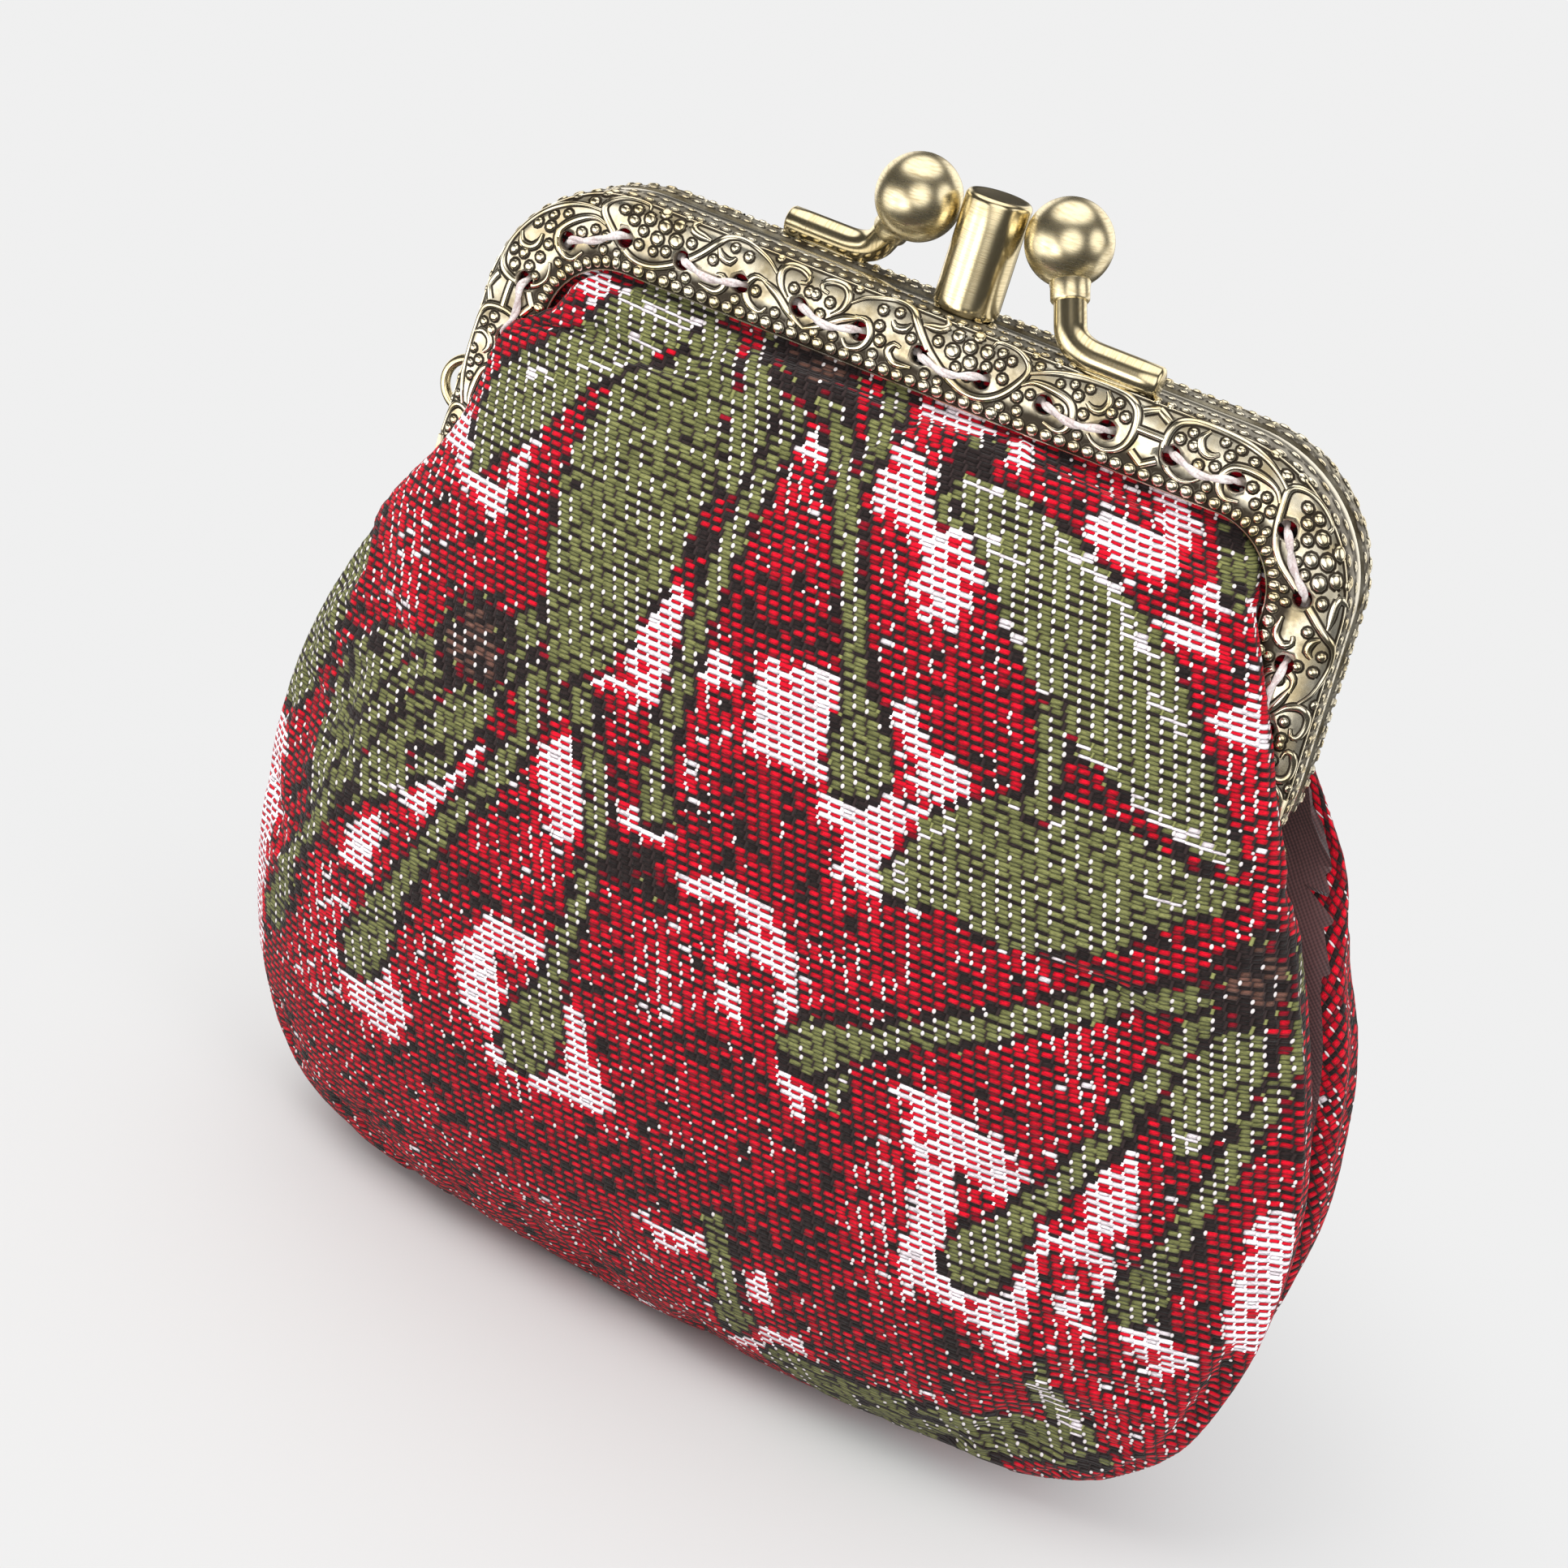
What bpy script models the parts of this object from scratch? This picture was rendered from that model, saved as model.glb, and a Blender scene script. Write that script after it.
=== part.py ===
"""Coin purse with two pockets and a three-part sprung clasp frame.

Units are metres, +Z is up, +X is to the right of somebody who looks at the
front, and the front faces -Y.  The purse stands on the flat bottoms of its
two pockets; the origin is the middle of that base.  The front and the back
frame turn on two rivets, one at each side, that lie on one axis along X.
"""

import math

import bmesh
import bpy
from mathutils import Matrix, Vector

# Driving dimensions -------------------------------------------------------
GAP = 0.0003                # room kept between pieces that touch
STEP_IN = 0.00006           # keeps the faces of two joined shapes off one plane
FRAME_TOP_Z = 0.104         # crown of the frames above the base
HINGE_Z = 0.068             # rivet axis above the base
TOP_HALF = 0.029            # half length of the straight top of the frames
CORNER_RADIUS = 0.0135      # outer radius of the frames' shoulders
FLARE = math.radians(4.2)   # the sides spread this much below the shoulders
KINK_Z = HINGE_Z + 0.008    # below this height the sides hang straight

PLATE_THICK = 0.0008        # sheet brass of the outer frames
FACE_WIDTH = 0.0074         # pierced face, measured in from the crown
FRAME_FRONT_Y = 0.0052      # outer face of an outer frame from the mid plane
FRAME_BACK_Y = 0.0015       # its open edge, next to the centre frame
SIDE_END_Z = HINGE_Z + 0.0046

HOLE_INSET = 0.00375        # sewing holes, measured in from the crown
HOLE_RADIUS = 0.00095
HOLE_PITCH = 0.005955
HOLES_PER_SIDE = 10         # on each side of the middle hole

CENTRE_HALF = 0.0012        # half width of the centre frame's band
CENTRE_WALL = 0.0005
CENTRE_DEPTH = 0.0040       # how far its channel reaches in

EAR_RADIUS = 0.0030
EAR_PITCH = 0.0012          # step from one ear to the next, along X
PIN_RADIUS = 0.00095
PIN_HOLE_RADIUS = 0.00102
HEAD_RADIUS = 0.0022
HEAD_THICK = 0.0010

CLASP_X = 0.0011            # how far right of the middle the clasp stands
POST_RADIUS = 0.0030
POST_LENGTH = 0.0102
STEM_RADIUS = 0.0009
BALL_RADIUS = 0.0039
BALL_LIFT = 0.0084          # ball centre above the crown
BALL_STEP = 0.00045         # how much higher the front ball stands, and how much lower the back one
ARM_RADIUS = 0.00135
ARM_END_X = 0.0196          # far end of the arm that lies on the frame
ARM_BEND_X = 0.0111
ARM_Y = 0.0034
COLLAR_RADIUS = 0.0017
COLLAR_DROP = 0.0052        # lower face of the ball's collar under its centre

LOOP_RADIUS = 0.0005        # wire of the chain loop
LOOP_Z = FRAME_TOP_Z - 0.0242
LOOP_HALF = 0.0026
LOOP_REACH = 0.0033

THREAD_RADIUS = 0.00037
CLOTH_THICK = 0.0012
LINING_THICK = 0.0006
DIVIDER_HALF = 0.0004
POCKET_INNER_Y = 0.0010     # inner wall of a pocket from the mid plane
SEAM_Z = HINGE_Z - 0.0060   # the cloth above this line swings with the frame

# Height, half width and depth of a pocket, from the swing line to the base.
POCKET_SECTIONS = (
    (SEAM_Z - GAP, 0.0496, 0.0140),
    (0.054, 0.0520, 0.0152),
    (0.046, 0.0538, 0.0163),
    (0.038, 0.0548, 0.0170),
    (0.030, 0.0550, 0.0172),
    (0.022, 0.0540, 0.0168),
    (0.015, 0.0515, 0.0158),
    (0.009, 0.0472, 0.0140),
    (0.0045, 0.0415, 0.0115),
    (0.0015, 0.0350, 0.0086),
    (0.0, 0.0290, 0.0062),
)
# Height, half width, distance of the edge and of the middle from the mid plane.
PANEL_SECTIONS = (
    (SEAM_Z, 0.0465, 0.0076, 0.0150),
    (0.070, 0.0440, 0.0082, 0.0140),
    (0.078, 0.0410, 0.0082, 0.0126),
    (0.084, 0.0380, 0.0082, 0.0110),
    (0.0865, 0.0357, 0.0078, 0.0102),
    (0.0885, 0.0346, 0.0068, 0.0094),
    (0.0920, 0.0340, 0.0056, 0.0080),
    (0.0940, 0.0330, 0.0052, 0.0068),
    (0.0954, 0.0304, 0.0050, 0.0056),
    (0.0961, 0.0284, 0.0050, 0.0050),
)

BRASS = (0.55, 0.47, 0.27)
BRIGHT_BRASS = (0.66, 0.60, 0.42)
TAPESTRY = (0.42, 0.03, 0.06)
LINING = (0.10, 0.05, 0.05)
THREAD = (0.86, 0.83, 0.76)


# Scene and helpers --------------------------------------------------------
def clear_scene():
    """Remove every object that a new file starts with."""
    for item in list(bpy.data.objects):
        bpy.data.objects.remove(item, do_unlink=True)


def new_collection(name):
    """Add a collection to the scene and return it."""
    collection = bpy.data.collections.new(name)
    bpy.context.scene.collection.children.link(collection)
    return collection


clear_scene()
PARTS = new_collection("coin_purse")
CUTTERS = new_collection("coin_purse_cutters")


def material(name, colour, roughness, metallic):
    """Return a Principled material."""
    result = bpy.data.materials.new(name)
    result.use_nodes = True
    shader = result.node_tree.nodes["Principled BSDF"]
    shader.inputs["Base Color"].default_value = (*colour, 1.0)
    shader.inputs["Roughness"].default_value = roughness
    shader.inputs["Metallic"].default_value = metallic
    return result


def dress(item, colour, roughness, metallic):
    """Give an object a material of its own, named after it."""
    item.data.materials.clear()
    item.data.materials.append(material(item.name, colour, roughness, metallic))
    return item


def mesh_object(name, mesh, collection=PARTS):
    """Link a mesh as a new object."""
    item = bpy.data.objects.new(name, mesh)
    collection.objects.link(item)
    return item


def hide_cutter(item):
    """Mark an object as a cutter or an operand, which is not a part."""
    item.hide_render = True
    item.display_type = "WIRE"


def curve_to_mesh(curve_object, name, collection=PARTS):
    """Turn a curve object into a welded mesh object and remove the curve."""
    bpy.context.view_layer.update()
    graph = bpy.context.evaluated_depsgraph_get()
    mesh = bpy.data.meshes.new_from_object(curve_object.evaluated_get(graph))
    shape = bmesh.new()
    shape.from_mesh(mesh)
    bmesh.ops.remove_doubles(shape, verts=shape.verts, dist=0.000002)
    shape.to_mesh(mesh)
    shape.free()
    item = mesh_object(name, mesh, collection)
    item.matrix_world = curve_object.matrix_world
    bpy.data.objects.remove(curve_object, do_unlink=True)
    return item


def boolean(target, other, operation):
    """Join another object to the target, or cut it away."""
    hide_cutter(other)
    step = target.modifiers.new(operation.lower() + "_" + other.name, "BOOLEAN")
    step.operation = operation
    step.solver = "EXACT"
    step.object = other


def flat_outline(name, loops, thickness, matrix, collection=PARTS):
    """Extrude closed outlines, the first outside and the rest holes."""
    data = bpy.data.curves.new(name, "CURVE")
    data.dimensions = "2D"
    data.fill_mode = "BOTH"
    data.extrude = thickness / 2
    for loop in loops:
        spline = data.splines.new("POLY")
        spline.points.add(len(loop) - 1)
        spline.use_cyclic_u = True
        for point, (across, up) in zip(spline.points, loop):
            point.co = (across, up, 0.0, 1.0)
    item = bpy.data.objects.new(name + "_outline", data)
    collection.objects.link(item)
    item.matrix_world = matrix
    return curve_to_mesh(item, name, collection)


def facing_y(y):
    """Place an outline drawn in X and Z at a distance along Y."""
    return Matrix.Translation((0.0, y, 0.0)) @ Matrix.Rotation(math.pi / 2, 4, "X")


def facing_x(x):
    """Place an outline drawn in Y and Z at a distance along X."""
    turn = Matrix(((0, 0, 1, x), (1, 0, 0, 0), (0, 1, 0, 0), (0, 0, 0, 1)))
    return turn


def wire(name, points, radius, sides):
    """Return a round wire through the points, as a curve with capped ends."""
    data = bpy.data.curves.new(name, "CURVE")
    data.dimensions = "3D"
    data.bevel_depth = radius
    data.bevel_resolution = sides
    data.use_fill_caps = True
    spline = data.splines.new("POLY")
    spline.points.add(len(points) - 1)
    for point, place in zip(spline.points, points):
        point.co = (*place, 1.0)
    item = bpy.data.objects.new(name + "_route", data)
    PARTS.objects.link(item)
    return curve_to_mesh(item, name)


def turned(name, profile, matrix, steps=24, collection=PARTS):
    """Turn a profile of (radius, height) points about the local Z axis."""
    mesh = bpy.data.meshes.new(name)
    shape = bmesh.new()
    corners = [shape.verts.new((radius, 0.0, height)) for radius, height in profile]
    for first, second in zip(corners, corners[1:]):
        shape.edges.new((first, second))
    shape.to_mesh(mesh)
    shape.free()
    item = mesh_object(name, mesh, collection)
    item.matrix_world = matrix
    screw = item.modifiers.new("turn", "SCREW")
    screw.steps = steps
    screw.render_steps = steps
    screw.use_merge_vertices = True
    screw.merge_threshold = 0.00001
    return item


def circle(centre, radius, count=12):
    """Return a closed round outline."""
    turns = [2 * math.pi * step / count for step in range(count)]
    return [(centre[0] + radius * math.cos(a), centre[1] + radius * math.sin(a)) for a in turns]


# The arch that all three frames follow ------------------------------------
ARC_SWEEP = math.pi / 2 - FLARE
SHOULDER_Z = FRAME_TOP_Z - CORNER_RADIUS
ARC_END_Z = SHOULDER_Z + CORNER_RADIUS * math.cos(ARC_SWEEP)
ARC_END_X = TOP_HALF + CORNER_RADIUS * math.sin(ARC_SWEEP)
SIDE_X = ARC_END_X + (ARC_END_Z - KINK_Z) * math.tan(FLARE)


def half_arch(inset, end_z, segments=7):
    """Return the right half of the arch, from its top to its lower end."""
    radius = CORNER_RADIUS - inset
    points = []
    for step in range(segments + 1):
        turn = ARC_SWEEP * step / segments
        points.append((TOP_HALF + radius * math.sin(turn), SHOULDER_Z + radius * math.cos(turn)))
    points.append((SIDE_X - inset, KINK_Z))
    points.append((SIDE_X - inset, end_z))
    return points


def arch(inset, end_z):
    """Return the whole arch from its right end over the top to its left end."""
    right = half_arch(inset, end_z)
    left = [(-x, z) for x, z in right]
    return list(reversed(right)) + left


def arch_strip(outer_inset, inner_inset, end_z, inner_end_z):
    """Return the closed outline of a strip that follows the arch."""
    return arch(outer_inset, end_z) + list(reversed(arch(inner_inset, inner_end_z)))


def along_holes(distance):
    """Return the point and the tangent at a distance along the hole line."""
    side = math.copysign(1.0, distance)
    length = abs(distance)
    radius = CORNER_RADIUS - HOLE_INSET
    top_z = FRAME_TOP_Z - HOLE_INSET
    if length <= TOP_HALF:
        return Vector((side * length, top_z)), Vector((1.0, 0.0))
    turn = min((length - TOP_HALF) / radius, ARC_SWEEP)
    x = TOP_HALF + radius * math.sin(turn)
    z = SHOULDER_Z + radius * math.cos(turn)
    rest = max(length - TOP_HALF - radius * ARC_SWEEP, 0.0)
    x += rest * math.cos(turn)
    z -= rest * math.sin(turn)
    return Vector((side * x, z)), Vector((math.cos(turn), -side * math.sin(turn)))


HOLE_DISTANCES = [HOLE_PITCH * n for n in range(-HOLES_PER_SIDE, HOLES_PER_SIDE + 1)]


# Frames -------------------------------------------------------------------
def ear_outline(hand):
    """Return the side view of an outer frame's end, reaching to the rivet."""
    wide = hand * (FRAME_FRONT_Y - 2 * STEP_IN)
    near = hand * (FRAME_BACK_Y + STEP_IN)
    knee = SIDE_END_Z - 0.0003
    points = [(wide, KINK_Z - 0.001), (near, KINK_Z - 0.001), (near, knee)]
    for step in range(15):
        turn = math.radians(100 - step * 280 / 14)
        points.append((-hand * EAR_RADIUS * math.cos(turn), HINGE_Z + EAR_RADIUS * math.sin(turn)))
    points.append((wide, knee))
    return points


def make_outer_frame(name, hand, ear_level):
    """Make an embossed outer frame: pierced face, crown wall and two ears.

    hand is -1 for the front frame and +1 for the back frame; ear_level says
    how many ears lie outside this frame's own ears.
    """
    face_y = hand * (FRAME_FRONT_Y - PLATE_THICK / 2)
    face_loops = [arch_strip(0.0, FACE_WIDTH, SIDE_END_Z, SIDE_END_Z)]
    for distance in HOLE_DISTANCES:
        face_loops.append(circle(along_holes(distance)[0], HOLE_RADIUS))
    frame = flat_outline(name, face_loops, PLATE_THICK, facing_y(face_y))

    depth = FRAME_FRONT_Y - FRAME_BACK_Y - STEP_IN
    wall_y = hand * (FRAME_BACK_Y + depth / 2)
    wall_end = SIDE_END_Z + STEP_IN
    wall_loop = arch_strip(STEP_IN, PLATE_THICK, wall_end, wall_end)
    wall = flat_outline(name + "_wall", [wall_loop], depth, facing_y(wall_y), CUTTERS)
    boolean(frame, wall, "UNION")

    ear_x = SIDE_X - PLATE_THICK / 2 - ear_level * EAR_PITCH - STEP_IN / 2
    ear_thick = PLATE_THICK - 3 * STEP_IN
    hole = circle((0.0, HINGE_Z), PIN_HOLE_RADIUS, 24)
    for side, word in ((-1, "left"), (1, "right")):
        ear_name = name + "_ear_" + word
        place = facing_x(side * ear_x)
        ear = flat_outline(ear_name, [ear_outline(hand), hole], ear_thick, place, CUTTERS)
        boolean(frame, ear, "UNION")
        if ear_level:
            boolean(frame, make_joggle(ear_name, side, hand, ear_level), "UNION")
    return frame


def make_joggle(name, side, hand, ear_level):
    """Make the short block that carries an inner ear in from the wall."""
    reach = PLATE_THICK + ear_level * EAR_PITCH - 0.0002
    bpy.ops.mesh.primitive_cube_add(size=1.0)
    block = bpy.context.object
    block.name = name + "_joggle"
    width = FRAME_FRONT_Y - FRAME_BACK_Y - 0.0006
    block.scale = (reach, width, 0.0016)
    middle_y = hand * (FRAME_FRONT_Y + FRAME_BACK_Y) / 2
    block.location = (side * (SIDE_X - 0.0001 - reach / 2), middle_y, KINK_Z - 0.0022)
    for owner in list(block.users_collection):
        owner.objects.unlink(block)
    CUTTERS.objects.link(block)
    return block


def make_centre_frame():
    """Make the plain centre frame: a channel, open inwards, with two ears."""
    end_z = HINGE_Z + 0.0040
    outline = arch_strip(0.0, CENTRE_DEPTH, end_z, end_z)
    frame = flat_outline("centre_frame", [outline], 2 * CENTRE_HALF, facing_y(0.0))
    slot_loop = arch_strip(CENTRE_WALL, CENTRE_DEPTH + 0.001, end_z - 0.002, end_z - 0.002)
    slot_width = 2 * (CENTRE_HALF - CENTRE_WALL)
    slot = flat_outline("centre_slot", [slot_loop], slot_width, facing_y(0.0), CUTTERS)
    boolean(frame, slot, "DIFFERENCE")

    ear_x = SIDE_X - PLATE_THICK / 2 - 2 * EAR_PITCH
    radius = EAR_RADIUS - 0.0004
    for side, word in ((-1, "left"), (1, "right")):
        loop = [(CENTRE_HALF - 0.0001, end_z + 0.003), (-CENTRE_HALF + 0.0001, end_z + 0.003)]
        for step in range(15):
            turn = math.radians(155 + step * 230 / 14)
            loop.append((radius * math.cos(turn), HINGE_Z + radius * math.sin(turn)))
        hole = circle((0.0, HINGE_Z), PIN_HOLE_RADIUS, 24)
        place = facing_x(side * ear_x)
        ear = flat_outline("centre_ear_" + word, [loop, hole], PLATE_THICK, place, CUTTERS)
        boolean(frame, ear, "UNION")

    top = Matrix.Translation((CLASP_X, 0.0, FRAME_TOP_Z))
    bore = [(0.0, 0.002), (STEM_RADIUS + 0.00007, 0.002), (STEM_RADIUS + 0.00007, -0.002), (0.0, -0.002)]
    boolean(frame, turned("post_bore", bore, top, collection=CUTTERS), "DIFFERENCE")
    return frame


def make_rivet(name, side):
    """Make a rivet with a domed outer head and a flat inner head."""
    outer = SIDE_X + GAP
    inner = SIDE_X - PLATE_THICK - 2 * EAR_PITCH - GAP
    profile = [(0.0, outer + HEAD_THICK)]
    for step in range(1, 6):
        turn = math.radians(18 * step)
        profile.append((HEAD_RADIUS * math.sin(turn), outer + HEAD_THICK * math.cos(turn)))
    profile += [(PIN_RADIUS, outer), (PIN_RADIUS, inner)]
    profile += [(HEAD_RADIUS * 0.8, inner), (HEAD_RADIUS * 0.7, inner - 0.0007), (0.0, inner - 0.0007)]
    place = Matrix.Translation((0.0, 0.0, HINGE_Z)) @ Matrix.Rotation(side * math.pi / 2, 4, "Y")
    rivet = turned(name, profile, place)
    return rivet


# Clasp --------------------------------------------------------------------
def make_post():
    """Make the round post that stands on the centre frame on a thin stem."""
    base = FRAME_TOP_Z + GAP
    top = base + POST_LENGTH
    soft = 0.0006
    profile = [(0.0, top)]
    for step in range(5):
        turn = math.radians(22.5 * step)
        ring = POST_RADIUS - soft + soft * math.sin(turn)
        profile.append((ring, top - soft + soft * math.cos(turn)))
    profile += [(POST_RADIUS, base + 0.0004), (POST_RADIUS - 0.0004, base), (STEM_RADIUS, base)]
    profile += [(STEM_RADIUS, FRAME_TOP_Z - CENTRE_WALL), (0.0, FRAME_TOP_Z - CENTRE_WALL)]
    return turned("clasp_post", profile, Matrix.Translation((CLASP_X, 0.0, 0.0)), steps=28)


def clasp_points(hand):
    """Return the ball's centre and the arm's end, bend and collar points."""
    side = -hand
    ball_x = CLASP_X + side * (POST_RADIUS + BALL_RADIUS + 0.0002)
    ball = Vector((ball_x, 0.0, FRAME_TOP_Z + BALL_LIFT - hand * BALL_STEP))
    level = FRAME_TOP_Z + GAP + ARM_RADIUS
    far_end = Vector((CLASP_X + side * ARM_END_X, hand * ARM_Y, level))
    bend = Vector((CLASP_X + side * ARM_BEND_X, hand * ARM_Y, level))
    return ball, far_end, bend


def make_clasp(name, hand):
    """Make one bent arm and the ball on its end."""
    ball, far_end, bend = clasp_points(hand)
    rise = (ball - bend).normalized()
    collar = ball - rise * (COLLAR_DROP + GAP)
    lie = (bend - far_end).normalized()
    reach = 0.0026
    start = bend - lie * reach
    finish = bend + rise * reach * 0.7
    route = [far_end]
    for step in range(7):
        t = step / 6
        route.append(start * (1 - t) ** 2 + bend * 2 * t * (1 - t) + finish * t ** 2)
    route.append(collar)
    arm = wire(name + "_arm", [tuple(point) for point in route], ARM_RADIUS, 4)

    profile = []
    for step in range(13):
        turn = math.radians(155 * step / 12)
        profile.append((BALL_RADIUS * math.sin(turn), BALL_RADIUS * math.cos(turn)))
    neck = profile[-1]
    profile += [(COLLAR_RADIUS, neck[1] - 0.0002), (COLLAR_RADIUS, -COLLAR_DROP), (0.0, -COLLAR_DROP)]
    place = rise.to_track_quat("Z", "X").to_matrix().to_4x4()
    place.translation = ball
    knob = turned(name + "_ball", profile, place)
    return arm, knob


def make_chain_loop():
    """Make the small wire loop on the left side of the centre frame."""
    surface_x = -(ARC_END_X + (ARC_END_Z - LOOP_Z) * math.tan(FLARE)) - GAP
    points = [(surface_x - 0.0001, 0.0, LOOP_Z + LOOP_HALF)]
    for step in range(11):
        turn = math.radians(90 - 18 * step)
        reach = surface_x - 0.0006 - (LOOP_REACH - 0.0006) * math.cos(turn)
        points.append((reach, 0.0, LOOP_Z + LOOP_HALF * math.sin(turn)))
    points.append((surface_x - 0.0003, 0.0, LOOP_Z - LOOP_HALF))
    return wire("chain_loop", points, LOOP_RADIUS, 2)


# Sewing -------------------------------------------------------------------
def make_stitching(name, hand):
    """Make one running-stitch thread that passes through every hole."""
    outside = FRAME_FRONT_Y + GAP + THREAD_RADIUS
    inside = FRAME_FRONT_Y - PLATE_THICK - GAP - THREAD_RADIUS
    middle = FRAME_FRONT_Y - PLATE_THICK / 2
    lead = 0.0011
    route = []
    for index, distance in enumerate(HOLE_DISTANCES):
        centre, _ = along_holes(distance)
        before, _ = along_holes(distance - lead)
        after, _ = along_holes(distance + lead)
        first, last = (inside, outside) if index % 2 == 0 else (outside, inside)
        route.append((before.x, hand * first, before.y))
        route.append((centre.x, hand * middle, centre.y))
        route.append((after.x, hand * last, after.y))
    return wire(name, route, THREAD_RADIUS, 2)


# Cloth --------------------------------------------------------------------
def pocket_ring(half_width, depth, hand):
    """Return the (x, y) points of a pocket's level section."""
    ring = []
    for step in range(13):
        turn = math.pi * step / 12
        across = math.copysign(abs(math.cos(turn)) ** 0.75, math.cos(turn))
        out = math.sin(turn) ** 0.8
        ring.append((half_width * across, hand * (POCKET_INNER_Y + depth * out)))
    for step in range(1, 6):
        ring.append((-half_width + half_width * step / 3, hand * POCKET_INNER_Y))
    return ring


def pocket_surface(name, hand, inset):
    """Loft the open-topped surface of a pocket, moved in by inset."""
    mesh = bpy.data.meshes.new(name)
    shape = bmesh.new()
    rings = []
    for height, half_width, depth in POCKET_SECTIONS:
        ring = [shape.verts.new((x, y, height)) for x, y in pocket_ring(half_width, depth, hand)]
        rings.append(ring)
    for upper, lower in zip(rings, rings[1:]):
        for index in range(len(upper)):
            following = (index + 1) % len(upper)
            shape.faces.new((upper[index], upper[following], lower[following], lower[index]))
    shape.faces.new(rings[-1])
    bmesh.ops.recalc_face_normals(shape, faces=shape.faces)
    base_face = min(shape.faces, key=lambda face: face.calc_center_median().z)
    if base_face.normal.z > 0:
        bmesh.ops.reverse_faces(shape, faces=shape.faces)
    shape.normal_update()
    moves = [(v, v.normal * inset * v.calc_shell_factor()) for v in shape.verts]
    for vertex, move in moves:
        vertex.co -= move
    for vertex in rings[0]:
        vertex.co.z = SEAM_Z - GAP
    shape.to_mesh(mesh)
    shape.free()
    return mesh_object(name, mesh)


def thicken(item, thickness):
    """Give an open surface a wall on its inner side."""
    wall = item.modifiers.new("wall", "SOLIDIFY")
    wall.thickness = thickness
    wall.offset = -1.0
    wall.use_even_offset = True


def make_pocket(name, hand):
    """Make the cloth of a pocket below the swing line."""
    pocket = pocket_surface(name, hand, 0.0)
    thicken(pocket, CLOTH_THICK)
    return pocket


def make_lining(name, hand):
    """Make the lining that lies inside a pocket."""
    lining = pocket_surface(name, hand, CLOTH_THICK + GAP)
    thicken(lining, LINING_THICK)
    return lining


def make_panel(name, hand):
    """Make the cloth panel that is sewn into an outer frame."""
    mesh = bpy.data.meshes.new(name)
    shape = bmesh.new()
    columns = 14
    rows = []
    for height, half_width, edge, middle in PANEL_SECTIONS:
        row = []
        for step in range(columns + 1):
            across = -math.cos(math.pi * step / columns)
            crown = (1 - abs(across) ** 2.4) ** 0.6
            y = hand * (edge + (middle - edge) * crown)
            row.append(shape.verts.new((half_width * across, y, height)))
        rows.append(row)
    for lower, upper in zip(rows, rows[1:]):
        for index in range(columns):
            corners = (lower[index], lower[index + 1], upper[index + 1], upper[index])
            shape.faces.new(corners if hand < 0 else tuple(reversed(corners)))
    shape.to_mesh(mesh)
    shape.free()
    panel = mesh_object(name, mesh)
    thicken(panel, CLOTH_THICK)
    return panel


def make_divider():
    """Make the flat cloth wall between the pockets, held by the centre frame."""
    inset = CENTRE_WALL + GAP
    edge = [(x, z) for x, z in half_arch(inset, KINK_Z) if z > KINK_Z]
    edge += [(SIDE_X - inset - 0.0004, KINK_Z + 0.003), (SIDE_X - 0.0056, KINK_Z)]
    edge += [(SIDE_X - 0.0056, HINGE_Z - 0.004), (0.0440, HINGE_Z - 0.010)]
    edge += [(0.0500, 0.046), (0.0515, 0.030), (0.0485, 0.016), (0.0400, 0.006), (0.0260, 0.0012)]
    outline = edge + [(-x, z) for x, z in reversed(edge)]
    return flat_outline("divider", [outline], 2 * DIVIDER_HALF, facing_y(0.0))


# Assembly -----------------------------------------------------------------
def build():
    """Make every part of the purse."""
    for name, hand, level in (("front_frame", -1, 0), ("back_frame", 1, 1)):
        dress(make_outer_frame(name, hand, level), BRASS, 0.38, 1.0)
    dress(make_centre_frame(), BRIGHT_BRASS, 0.25, 1.0)
    dress(make_rivet("rivet_left", -1), BRASS, 0.35, 1.0)
    dress(make_rivet("rivet_right", 1), BRASS, 0.35, 1.0)
    dress(make_post(), BRIGHT_BRASS, 0.28, 1.0)
    for name, hand in (("front_clasp", -1), ("back_clasp", 1)):
        for piece in make_clasp(name, hand):
            dress(piece, BRIGHT_BRASS, 0.28, 1.0)
    dress(make_chain_loop(), BRIGHT_BRASS, 0.3, 1.0)
    for word, hand in (("front", -1), ("back", 1)):
        dress(make_stitching(word + "_stitching", hand), THREAD, 0.9, 0.0)
        dress(make_panel(word + "_panel", hand), TAPESTRY, 0.9, 0.0)
        dress(make_pocket(word + "_pocket", hand), TAPESTRY, 0.9, 0.0)
        dress(make_lining(word + "_lining", hand), LINING, 0.85, 0.0)
    dress(make_divider(), LINING, 0.85, 0.0)
    for item in PARTS.objects:
        if item.name.startswith(("clasp", "front_clasp", "back_clasp", "rivet", "chain")):
            item.data.shade_smooth()
            item.data.set_sharp_from_angle(angle=math.radians(40))


build()
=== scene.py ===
"""Looks of a coin purse with two jacquard cloth pockets in an embossed, sewn-in brass clasp frame.

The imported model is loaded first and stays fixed.  Every class below models one sub-assembly around it.
Lengths inside the classes are millimetres in the model's own frame (+Z up, front towards -Y); the mesh
of a finished piece is scaled to metres in one place, Workshop.finish.
"""

import logging
import math
from dataclasses import dataclass, field
from enum import Enum
from typing import Any, Callable, Iterable, Sequence

import bmesh
import bpy
import numpy as np
from mathutils import Matrix, Vector


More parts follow.
